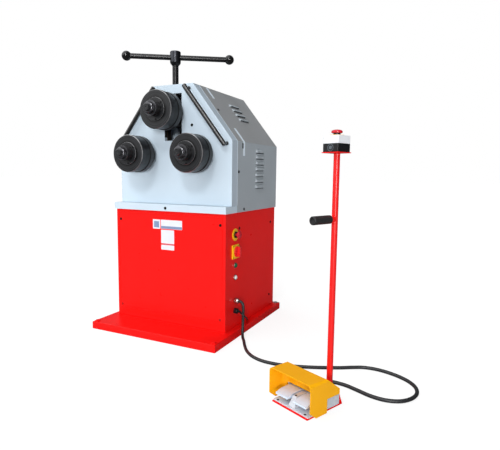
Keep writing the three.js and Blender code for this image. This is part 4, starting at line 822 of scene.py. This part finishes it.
# Sheet metal: base, cabinet and head. Its outer folds are the upright corners, and a given top's edges.
def outerFold(x, front, rear, top=None):
    def test(a, b):
        middle = (a + b) / 2
        sides = abs(abs(middle.x) - x) < 0.2
        ends = min(abs(middle.y - front), abs(middle.y - rear)) < 0.2
        if abs(a.x - b.x) < 0.1 and abs(a.y - b.y) < 0.1:
            return sides and ends
        return top is not None and abs(a.z - top) < 0.1 and abs(b.z - top) < 0.1 and (sides or ends)
    return test


# The electrical panel: a plated board with black devices on it, and a white row in between
def panelParts(centre, normal):
    boardFront, whiteFoot, whiteTop = 356, 350, 410
    if centre.y > boardFront:
        return 0
    return 2 if whiteFoot <= centre.z <= whiteTop else 1


bothSides = ((1, "right"), (-1, "left"))
trayTop, bedFront, slotHalf, slotTop = 36, -239.2, 51, 1177
easedCopy("base_tray", 0.7, redPaint, folds=(outerFold(360, -387, 387, trayTop), 4))
easedCopy("cabinet_shell", 0.5, redPaint, folds=(outerFold(cabinetSide, cabinetFront, cabinetRear), 4))
easedCopy("cabinet_front_panel", 0.6, redPaint)
easedCopy("head_bed", 0.7, greyPaint, folds=(outerFold(coverSide, bedFront, -125.2, 639), 2.5))
# Painted shade: the plate's outer side faces take a darker copy of its paint, the cover's slopes a darker
# copy of the sides' paint
easedCopy("head_front_plate", 0.9, [greyPaint, edgePaint],
          paint=lambda centre, normal: 1 if abs(normal.x) > 0.3 and abs(centre.x) > 60 else 0)
# Steel strips on the slot's walls: a dark one in front, a brown line behind it that is a painted highlight,
# and the slide block's way
slotStrips = {
    "SlotEdge": (-179, -158.5, 969, slotSteel), "SlotLine": (-158.5, -155, 952, wornBronze),
    "SlotWay": (-155, -126, 952, slotSteel),
}
for name, (front, rear, foot, material) in slotStrips.items():
    for side, word in bothSides:
        walls = sorted((side * slotHalf, side * (slotHalf - 0.3)))
        pushedPiece(word + name, rectangle(front, rear, foot, slotTop, 0.5), "x", *walls, material, edge=0.05)
easedCopy("head_rear_plate", 0.5, greyPaint)
easedCopy("head_cover", 0.5, [coverPaint, slopePaint],
          paint=lambda centre, normal: 1 if 0.3 < normal.z < 0.9 and abs(normal.x) > 0.3 else 0)
easedCopy("slide_block", 1.2, blackSteel, slot="bright_steel")
easedCopy("electrical_panel", 0.8, [zincPlate, blackPlastic, whitePlastic], paint=panelParts)
easedCopy("worm_gearbox", 3, motorPaint)
for node in ("left_drive_gear", "right_drive_gear", "drive_pinion"):
    easedCopy(node, 0.4, brightSteel)


# The motor: a finned barrel between its flange and a fan cover
def driveMotor():
    start, end = low("drive_motor").x, high("drive_motor").x
    middle = (low("drive_motor") + high("drive_motor")) / 2

    def fins(angle, radius, along):
        smooth = radius < 60 or not start + 18 < along < end - 48
        return radius if smooth or round(angle / (2 * math.pi) * 144) % 4 < 2 else radius - 5

    turnedPiece("driveMotor", [
        (0, start), (74, start), (74, start + 12), (66, start + 12), (66, start + 17), (66, start + 19),
        (66, end - 50), (66, end - 47), (66, end - 42), (70, end - 40), (70, end - 10), (60, end), (48, end),
        (46, end - 1.5), (30, end - 1.5), (28, end), (0, end),
    ], "x", (middle.y, middle.z), motorPaint, sides=144, ease=1.2, shape=fins)


driveMotor()
print("sheets ready")

# Louvers of the cover, on its sides and slopes
louver = {
    "middle": 132.8, "Side": {"top": 903, "pitch": 30.5, "count": 7, "shift": 8.5},
    "Slope": {"top": 97, "pitch": 32, "count": 4, "shift": 4.5},
}
slope = {"x": 115.5, "z": 1222, "run": 215.5, "rise": 274}
slopeLength = math.hypot(slope["run"], slope["rise"])
slopeTilt = math.atan2(slope["rise"], slope["run"])


def onSlope(along, inward):
    return (slope["x"] + (slope["run"] * along - slope["rise"] * inward) / slopeLength,
            slope["z"] - (slope["rise"] * along + slope["run"] * inward) / slopeLength)


def outOfSlope(side):
    return Vector((side * math.sin(slopeTilt), 0, math.cos(slopeTilt)))


# The turn that takes an item's Y upwards along a surface and its Z out of it
def turnOnto(up, out):
    up, out = up.normalized(), out.normalized()
    return Matrix((up.cross(out), up, out)).transposed().to_euler()


for side, word in bothSides:
    x, z = onSlope(louver["Slope"]["top"], 0)
    for place, first, down, out in (
        ("Side", (side * coverSide, louver["middle"], louver["Side"]["top"]), (0, 0, -1),
         Vector((side, 0, 0))),
        ("Slope", (side * x, louver["middle"], z), (side * math.cos(slopeTilt), 0, -math.sin(slopeTilt)),
         outOfSlope(side)),
    ):
        row, down = louver[place], Vector(down)
        # Each hood gets its black liner, which is painted shade
        for label, material in (("Louver", coverPaint), ("LouverShade", screwBlack)):
            repeated(word + place + label + "s", "row", label, material, count=row["count"],
                     step=down * row["pitch"], start=Vector(first) - down * row["shift"],
                     turn=turnOnto(-down, out))

# The rear plate's tabs and the front box's seam follow the outline: front, rear, foot, top and how proud
outlineStrips = {
    "Tab": (-66, -46.3, 880, 1015, 0.35), "UpperTab": (-66, -46.3, 1165, 1217, 0.35),
    "Seam": (-127.2, -124.6, 640, 1221, 0.4),
}
outlineBend, mitre = 948, 0.346


def outlineAt(z, out):
    if z < outlineBend - 1:
        return coverSide + out, z
    if z < outlineBend + 1:
        return coverSide + out, outlineBend + mitre * out
    return (slope["x"] + (slope["z"] - z) / slope["rise"] * slope["run"] + out * math.sin(slopeTilt),
            z + out * math.cos(slopeTilt))


# The strips take the lighter grey: a painted highlight along them
for name, (front, rear, foot, top, proud) in outlineStrips.items():
    heights = [foot, outlineBend, top] if foot < outlineBend else [foot, top]
    outline = [outlineAt(z, proud) for z in heights] + [outlineAt(z, -0.5) for z in reversed(heights)]
    for side, word in bothSides:
        pushedPiece(word + name, [(side * x, z) for x, z in outline], "y", front, rear, tabPaint, edge=0.1)
# A black oval pad on each side of the cover stands for a slot: painted shade of its opening
for side, word in bothSides:
    walls = sorted((side * coverSide, side * (coverSide + 0.7)))
    pushedPiece(word + "CoverSlot", rectangle(-75.5, -63.5, 915, 942, 5.6), "x", *walls, screwBlack, edge=0.2)

# Screws: the item, its material, where it faces and its places. The length of a name is its seed.
ahead, back, up = (0, -1, 0), (0, 1, 0), (0, 0, 1)
sidePlaces, coverPlaces = ((-88, 526), (303, 523), (299, 102)), ((-111, 802), (-51, 619))
screws = {
    "frontPanelScrews": ("PanelScrew", screwBlack, ahead, [(x, cabinetFront, 552) for x in (-297, 297)]),
    "lowPanelScrews": ("PanelScrew", dullRed, ahead, [(x, cabinetFront, 97) for x in (-297, 297)]),
    "rightSideScrews": ("PanelScrew", screwBlack, (1, 0, 0), [(cabinetSide, *place) for place in sidePlaces]),
    "leftSideScrews": ("PanelScrew", screwBlack, (-1, 0, 0),
                       [(-cabinetSide, *place) for place in (*sidePlaces, (-180, 102))]),
    "rearScrews": ("PanelScrew", screwBlack, back,
                   [(x, cabinetRear, z) for x in (-290, 290) for z in (80, 560, 640, 900)]),
    "bedScrew": ("PanelScrew", screwBlack, ahead, [(-8, bedFront, 620)]),
    "plateScrews": ("PanelScrew", screwBlack, ahead, [(110, plateFront, 1024), (-110, plateFront, 1024)]),
    "rightCoverScrews": ("PanelScrew", screwBlack, (1, 0, 0), [(coverSide, *place) for place in coverPlaces]),
    "leftCoverScrews": ("PanelScrew", screwBlack, (-1, 0, 0),
                        [(-coverSide, *place) for place in coverPlaces]),
    "frontTrayBolts": ("FloorBolt", redPaint, up, [(x, -366, trayTop) for x in (-341, 341)]),
    "rearTrayBolts": ("FloorBolt", zincPlate, up, [(x, 366, trayTop) for x in (-341, 341)]),
}
for name, (item, material, facing, places) in screws.items():
    repeated(name, "points", item, material, points=places, facing=facing, seed=len(name))
for side, word in bothSides:
    x, z = onSlope(153.5, 0)
    repeated(word + "SlopeScrews", "points", "PanelScrew", screwBlack, points=[(side * x, -100.4, z)],
             facing=outOfSlope(side), seed=3)

# Blank plates on the cabinet's front, and the bands of colour on them
plates = {
    "squarePlate": (-91, -46, 514, 561, plateWhite), "headingPlate": (-42, 84, 516, 561, plateWhite),
    "ratingPlate": (-41, 37, 443, 511, plateWhite), "footPlate": (-41, 37, 411, 435, plateWhite),
    "squareField": (-84, -53, 521, 552, plateBlue), "headingFoot": (-41, 83, 517, 530, plateBlue),
    "ratingLine": (-40, 36, 437, 441, plateRed),
}
for name, (*extent, material) in plates.items():
    corner, proud, sunk, edge = (2, 0.5, 0, 0.15) if material is plateWhite else (0.8, 0.6, 0.3, 0.05)
    pushedPiece(name, rectangle(*extent, corner), "y", cabinetFront - proud, cabinetFront - sunk, material,
                edge=edge)
print("louvers, screws and plates ready")

# Rollers. The three sets are alike; only the shafts differ in length.
roller = {"front": -322.4, "rear": -228.2, "radius": 90, "groove": 87, "disc": 31.4, "chamfer": 3, "boss": 54,
          "bossHeight": 5, "bore": 25.3}
shaft = {"front": -391.4, "radius": 25, "thread": 16.2, "threadLength": 47, "shoulder": 34,
         "shoulderLength": 35}
collar = {"front": -361.4, "washer": 36, "step": -354.4, "radius": 33, "rear": -327.7}
nut = {"front": -380.4, "rear": -361.7, "flats": 50, "face": 22, "widest": 31.6}


def rollerSet(word, x, z):
    steel = finish(word + "RollerSteel", "black_steel", (0.009, 0.0094, 0.0105), 0.32, (0.4, 16), (0.03, 500),
                   shine=0.42, glossDrift=0.07, centre=(x / 1000, 0, z / 1000), rings=0.2)
    keys = ("front", "rear", "radius", "chamfer", "bore", "boss")
    front, rear, r, c, bore, boss = [roller[key] for key in keys]
    bossFront, split = front - roller["bossHeight"], front + roller["disc"]
    discRear, step = split - 0.3, split + roller["disc"]

    def piece(name, profile, material, **drawing):
        turnedPiece(word + name, profile, "y", (x, z), material, **drawing)

    # the front disc's rim and its boss's edge get a brighter steel: a painted highlight along them
    def rimPaint(radius, along):
        rim = radius > roller["groove"] + 0.5 and along < front + c + 0.1
        return 1 if rim or boss - 1 < radius < boss + 0.1 and along < bossFront + 1.5 else 0

    piece("RollerFrontDisc", [
        (bore, bossFront), (boss - 1, bossFront), (boss, bossFront + 1), (boss, front), (r - c, front),
        (r, front + c), (r, discRear - c), (r - c, discRear), (bore, discRear),
    ], [steel, rimSteel], sides=128, ease=0.4, paint=rimPaint)
    piece("RollerRearDisc", [
        (bore, split), (roller["groove"], split), (roller["groove"], step), (r, step + c), (r, rear - c),
        (r - c, rear), (bore, rear),
    ], steel, sides=128, ease=0.4)
    piece("RollerCollar", [
        (bore, collar["front"]), (collar["washer"], collar["front"]), (collar["washer"], collar["step"]),
        (collar["radius"], collar["step"]), (collar["radius"], collar["rear"]), (bore, collar["rear"]),
    ], nutSteel, sides=96, ease=1.2)

    thread, core, end = shaft["thread"], shaft["radius"], shaft["front"]
    cone = [(nut["face"] + (nut["widest"] - nut["face"]) * k / 8, nut["front"] + 5.4 * k / 8)
            for k in range(1, 9)]
    piece("RollerNut", [
        (thread + 0.4, nut["front"]), (nut["face"], nut["front"]), *cone, (nut["widest"], nut["rear"] - 3),
        (23.5, nut["rear"]), (thread + 0.4, nut["rear"]),
    ], nutSteel, ease=0, shape=hexagon(nut["flats"]))
    turns = [point for k in range(10) for point in ((thread, end + 2 + 2 * k), (thread - 1, end + 3 + 2 * k))]
    seat, shoulder, tail = end + shaft["threadLength"], rear + 0.3, high(word + "_roller_shaft").y
    neck = shoulder + shaft["shoulderLength"]
    piece("RollerShaft", [
        (0, end + 3.5), (3, end + 1), (4, end), (thread - 1.6, end), *turns, (thread, end + 23),
        (thread, seat), (core, seat), (core, shoulder), (shaft["shoulder"], shoulder),
        (shaft["shoulder"], neck), (core, neck), (core, tail - 2), (core - 2, tail), (0, tail),
    ], steel, sides=96, ease=0.3)

    def screwCircle(name, item, carrier, count, radius, angle, y):
        repeated(word + name, "circle", item, screwBlack, carrier, count=count, radius=radius,
                 phase=math.radians(angle), centre=Vector((x, y, z)), turn=(math.radians(90), 0, 0))

    screwCircle("BossScrews", "SmallScrew", word + "_roller", count=3, radius=47.5, angle=38, y=bossFront)
    flange = plateFront - 0.3
    piece("ShaftBearing", [
        (25.7, -12), (41, -12), (42, -10.5), (56, -10.5), (58, -9), (58, 0), (36, 0), (36, 30.3),
        (25.7, 30.3),
    ], blackSteel, sides=96, ease=0.8, slot="bright_steel", start=flange)
    bearingBody = nodeBody[word + "_shaft_bearing"]
    screwCircle("BearingScrews", "CapScrew", bearingBody, count=6, radius=49, angle=30, y=flange - 10.5)


rollerSet("left", -166.5, 884)
rollerSet("right", 166.5, 884)
rollerSet("top", 0, 1086)
print("rollers ready")

# Spindle, its nut, the handle bar with its balls, and the guide bars
spindle = {"radius": 15, "hub": 26, "top": 1383, "hubHeight": 55, "taper": 14,
           "nut": 20, "nutFoot": 1179, "nutTop": 1215}
bar = {"height": 1354, "radius": 12.5, "angle": 32.1, "left": -234, "right": 264, "ball": 23, "neck": 6}
guide = {"radius": 11, "length": 361, "inset": 31, "standoff": 36, "stud": 6, "Upper": 6, "Lower": 343}
top, hub, hubFoot = spindle["top"], spindle["hub"], spindle["top"] - spindle["hubHeight"]


def spindlePaint(radius, along):
    return 1 if along > hubFoot else 0


turnedPiece("spindle", [
    (0, low("spindle").z), (spindle["radius"], low("spindle").z),
    (spindle["radius"], hubFoot - spindle["taper"]), (spindle["radius"] + 8.5, hubFoot - 4),
    (hub, hubFoot + 2), (hub, top - 3), (hub - 3, top), (0, top),
], "z", (0, spindleY), [barSteel, hubSteel], ease=1.5, paint=spindlePaint)
turnedPiece("spindleNut", ring(15.7, spindle["nut"], spindle["nutFoot"], spindle["nutTop"]), "z",
            (0, spindleY), bronze)
barPlace = placedAt(0, spindleY, bar["height"], math.radians(bar["angle"]))
reach = math.sqrt(bar["ball"] ** 2 - bar["radius"] ** 2)
turnedPiece("handleBar", [
    (0, bar["left"] + 5), (bar["neck"], bar["left"] + 5), (bar["neck"], bar["left"] + reach - 1),
    (bar["radius"], bar["left"] + reach), (bar["radius"], bar["right"] - reach),
    (bar["neck"], bar["right"] - reach + 1), (bar["neck"], bar["right"] - 5), (0, bar["right"] - 5),
], "x", (0, 0), barSteel, within=barPlace, sides=48, ease=0.5)
for word, stands in (("left", ()), ("right", ("handle_ball",))):
    angles = [math.pi / 26 * k for k in range(27)]
    ball = [(bar["ball"] * math.sin(a) if 0 < a < angles[-1] else 0, bar[word] - bar["ball"] * math.cos(a))
            for a in angles]
    turnedPiece(word + "HandleBall", ball, "x", (0, 0), ballPlastic, stands, barPlace, "screw", sides=56,
                ease=0)

half, stub, barY = guide["length"] / 2, guide["stud"], plateFront - guide["standoff"]
for side, word in bothSides:
    x, z = onSlope(half - 6, guide["inset"])
    turnedPiece(word + "GuideBar", [
        (0, -half), (guide["radius"] - 1.5, -half), (guide["radius"], -half + 1.5),
        (guide["radius"], half - 1.5), (guide["radius"] - 1.5, half), (0, half),
    ], "x", (0, 0), guideSteel, within=placedAt(side * x, barY, z, side * slopeTilt, "Y"), sides=48, ease=0.3)
    for end in ("Upper", "Lower"):
        x, z = onSlope(guide[end], guide["inset"])
        turnedPiece(word + end + "Stud", [
            (0, barY), (stub, barY), (stub, plateFront - 5), (stub + 3, plateFront - 4),
            (stub + 3, plateFront - 0.3), (0, plateFront - 0.3),
        ], "y", (side * x, z), blackSteel, sides=32, ease=0.4)
print("spindle, bars and guides ready")

# Controls on the cabinet's right side, all turned about X and measured from just outside the sheet
face = cabinetSide + 0.3
controls = {"estop": 499, "switch": 417, "start": 349, "lamp": 289, "cableGland": 172, "cordGland": 121}
mushroom = {"radius": 19, "height": 12, "stem": 8}


def control(name, place, profile, materials, start=face, **drawing):
    turnedPiece(name, profile, "x", (controlY, controls[place]), materials, start=start, **drawing)


def mushroomProfile(foot, under):
    radius, height, stem = mushroom.values()
    angles = [math.radians(9 * k) for k in range(1, 10)]
    dome = [(radius * math.cos(a), under + 6 + (height - 6) * math.sin(a)) for a in angles]
    return [(0, foot), (stem, foot), (stem, under), (radius - 2, under), (radius, under + 2),
            (radius, under + 6), *dome, (0, under + height)]


control("estopBase", "estop", [
    (0, -12), (11, -12), (11, 0), (30, 0), (30, 3), (18, 3.4), (16, 3), (16, 9), (12, 9), (11, 7), (0, 7),
], [yellowPlastic, blackPlastic], ease=0.5, paint=lambda radius, along: 1 if radius < 16.6 else 0)
control("estopMushroom", "estop", mushroomProfile(-0.3, 18), redPlastic, ease=0.6)

switch, knobBack = controls["switch"], face + 8.6
pushedPiece("mainSwitchBase", square(controlY, switch, 34, 6), "x", face, face + 8, yellowPlastic, edge=1.6)
control("mainSwitchRing", "switch", ring(26.5, 30.5, 7.5, 9.3), yellowPlastic, ease=0.6)
repeated("mainSwitchScrews", "points", "SmallScrew", screwBlack, facing=(1, 0, 0), seed=2,
         points=[(face + 6.4, controlY + u, switch + v) for u in (-28, 28) for v in (-28, 28)])
control("mainSwitchKnob", "switch", [
    (0, cabinetSide - knobBack), (6, cabinetSide - knobBack), (6, 0), (25, 0), (26, 1.5), (25, 7), (23, 8),
    (0, 8),
], knobRed, start=knobBack, ease=0.5)
pushedPiece("mainSwitchGrip", rectangle(controlY - 7, controlY + 7, switch - 24.5, switch + 24.5, 5), "x",
            knobBack + 7, knobBack + 24, knobRed, edge=2.4, body="switch_knob")
repeated("mainSwitchRibs", "circle", "KnobRib", knobRed, "switch_knob", count=28, radius=25.2, phase=0.0,
         centre=Vector((knobBack + 0.5, controlY, switch)), turn=(0, math.radians(90), 0))

bezel = [(10, -3), (14, 0), (14, 3.5), (12.3, 6), (10.6, 6), (10, 4.5)]
control("startButtonBezel", "start", bezel, nickel, sides=64, ease=0.5)
control("startButtonCap", "start", [(0, -5), (9.5, -5), (9.5, 9.5), (8, 11), (0, 10.4)], greenPlastic,
        sides=56, ease=0.8)
control("lampBezel", "lamp", bezel, nickel, sides=64, ease=0.5)
control("indicatorLamp", "lamp", [
    (0, -5), (9.9, -5), (9.9, 6), (9.2, 9), (7, 11.2), (3.6, 12), (0, 12.2),
], lampPlastic, sides=56, ease=1)


# A gland's flange is a hexagon with its corners turned off
def glandShape(angle, radius, along):
    return hexagon(24.4)(angle, radius, along) if along < face + 8.2 and radius > 12.6 else radius


for name, place, held, material in (
    ("pedalCableGland", "cableGland", cable["radius"], nickel),
    ("mainsCordGland", "cordGland", mains["radius"], blackPlastic),
):
    control(name, place, [
        (0, -8), (11, -8), (11, 0), (13.2, 0), (14.1, 1), (14.1, 7), (13.2, 8), (11.2, 8), (11.2, 9.5),
        (12, 9.6), (12, 15), (10.6, 19), (held + 2.6, 22.5), (held + 0.4, 24), (0, 24),
    ], material, ease=0.3, shape=glandShape)
    repeated(name + "Ribs", "circle", "GlandRib", material, count=20, radius=11.7, phase=0.0,
             centre=Vector((face + 9.8, controlY, controls[place])), turn=(0, math.radians(90), 0))


# The mains cord's strain relief narrows to the cord along its own curve
def strainRelief():
    points, gone = [mainsLine[0]], 0
    for a, b in zip(mainsLine, mainsLine[1:]):
        gone += (b - a).length
        points.append(b)
        if gone > relief["length"]:
            break
    foot, tip = relief["radius"], mains["radius"] + relief["lip"]
    radii = [foot - (foot - tip) * i / (len(points) - 1) for i in range(len(points))]
    mesh = tubeMesh("strainRelief", points, radii, relief["sides"], blackPlastic, Vector((0, 1, 0)))
    pieceFrom("strainRelief", mesh)


strainRelief()
print("controls ready")

# Pedal stand, drawn in its own frame
stand = {"half": (83.5, 89.5), "plate": 4, "flangeHeight": 48, "flangeTop": 62, "pole": (16, 99.5),
         "poleRadius": 11, "head": 865, "overhang": 3, "grip": 640}
station = {"x": 13, "half": 33, "foot": 868.3, "seam": 896.6, "top": 923.6, "ring": 2, "mushroom": 8.5}
x, y = stand["half"]
pole, head, wide, rise = stand["pole"], stand["head"], stand["flangeTop"], stand["flangeHeight"]
cx, cy, half = station["x"], pole[1], station["half"]
gripPlace = (pole[0], stand["grip"])


def standTurned(name, profile, axis, centre, material, stands=(), **drawing):
    turnedPiece(name, profile, axis, centre, material, stands, inStand, **drawing)


def standPushed(name, outline, axis, foot, top, material, stands=(), **drawing):
    pushedPiece(name, outline, axis, foot, top, material, stands, inStand, **drawing)


standPushed("standBasePlate", rectangle(-x, x, -y, y, 3), "z", 0, stand["plate"], redPaint, ("pedal_stand",))
flange = eased([(-x, 0.5), (x, 0.5), (wide, rise, 6), (-wide, rise, 6)], 1, closed=True, steps=5)
standPushed("standFlange", flange, "y", y - stand["plate"], y, redPaint)
standTurned("standPole", ring(0, stand["poleRadius"], 1, head + 1), "z", pole, standPaint, sides=56, ease=0.2)
standTurned("standPoleWeld", [(10, 3), (16, 3.5), (14.5, 7.5), (11, 9.5), (10, 9.5)], "z", pole, redPaint,
            sides=56, ease=1.4)
standPushed("standHeadPlate", square(cx, cy, half + stand["overhang"], 3), "z", head, head + 3, redPaint,
            edge=0.7)
standTurned("gripStub", ring(0, 11, 45, 92), "y", gripPlace, redPaint, sides=48, ease=0.4)
standTurned("standGrip", [
    (0, -11.5), (8.5, -11.5), (10, -16.5), (12.5, -16.5), (15, -14), (15, 71.5), (13, 73.5), (11.3, 73.5),
    (11.3, 69.5), (0, 69.5),
], "y", gripPlace, gripRubber, sides=64, ease=1)
easedCopy("pedal_guard", 0.6, yellowPaint)
easedCopy("pedal_casting", 2, castPaint)
easedCopy("left_pedal", 2.2, padPaint, steps=3)
easedCopy("right_pedal", 2.2, padPaint, steps=3)
repeated("castingScrews", "points", "SmallScrew", screwBlack,
         points=[(-64, -79, 8.6), (64, -79, 8.6), (0, -56, 42)], facing=up, within=inStand, seed=5)

boxSeam, boxTop = station["seam"], station["top"]
standPushed("stationBoxLower", square(cx, cy, half, 4), "z", station["foot"], boxSeam - 0.3, blackPlastic,
            ("stand_box_lower",), edge=1.2)
# Its knock-out for a cable: a ring with a disc in the middle
for name, inner, outer in (("knockOutRing", 10.6, 12.6), ("knockOutDisc", 0, 6.4)):
    standTurned(name, ring(inner, outer, -0.8, 0.5), "y", (14, 882.5), knockOutPlastic, sides=48, ease=0.25,
                start=cy - half)


# The upper half is turned too, to have its bore, and its outer rings are drawn out to a rounded square
def roundedSquare(angle, radius, along):
    if radius < half - 5:
        return radius
    corner = max(4 + radius - half, 0.5)
    fold = angle % (math.pi / 2)
    fold = min(fold, math.pi / 2 - fold)
    if radius * math.tan(fold) <= radius - corner:
        return radius / math.cos(fold)
    reach = (radius - corner) * (math.cos(fold) + math.sin(fold))
    return reach + math.sqrt(reach ** 2 - 2 * (radius - corner) ** 2 + corner ** 2)


standTurned("stationBoxUpper", [
    (0, boxSeam), (half, boxSeam), (half, boxTop - 1.8), (half - 0.5, boxTop - 0.5), (half - 1.8, boxTop),
    (12.4, boxTop), (12.4, boxTop - 7), (0, boxTop - 7),
], "z", (cx, cy), whitePlastic, ("stand_box_upper",), sides=360, ease=0.3, shape=roundedSquare)
ringTop, under = station["ring"], station["mushroom"]
standTurned("stationRing", [
    (12.4, -1), (25.5, -1), (25.5, ringTop - 0.6), (24.9, ringTop), (13, ringTop), (12.4, ringTop - 0.5),
], "z", (cx, cy), yellowPlastic, ease=0.2, start=boxTop)
standTurned("stationSkirt", ring(8, 12, ringTop - 0.3, under + 1), "z", (cx, cy), blackPlastic, sides=56,
            ease=0.3, body="stand_stop_button", start=boxTop)
standTurned("stationMushroom", mushroomProfile(0, under), "z", (cx, cy), redPlastic,
            ("stand_estop_mushroom",), ease=0.6, start=boxTop)
for item in items.values():
    bpy.data.objects.remove(item)
print("pedal stand ready")
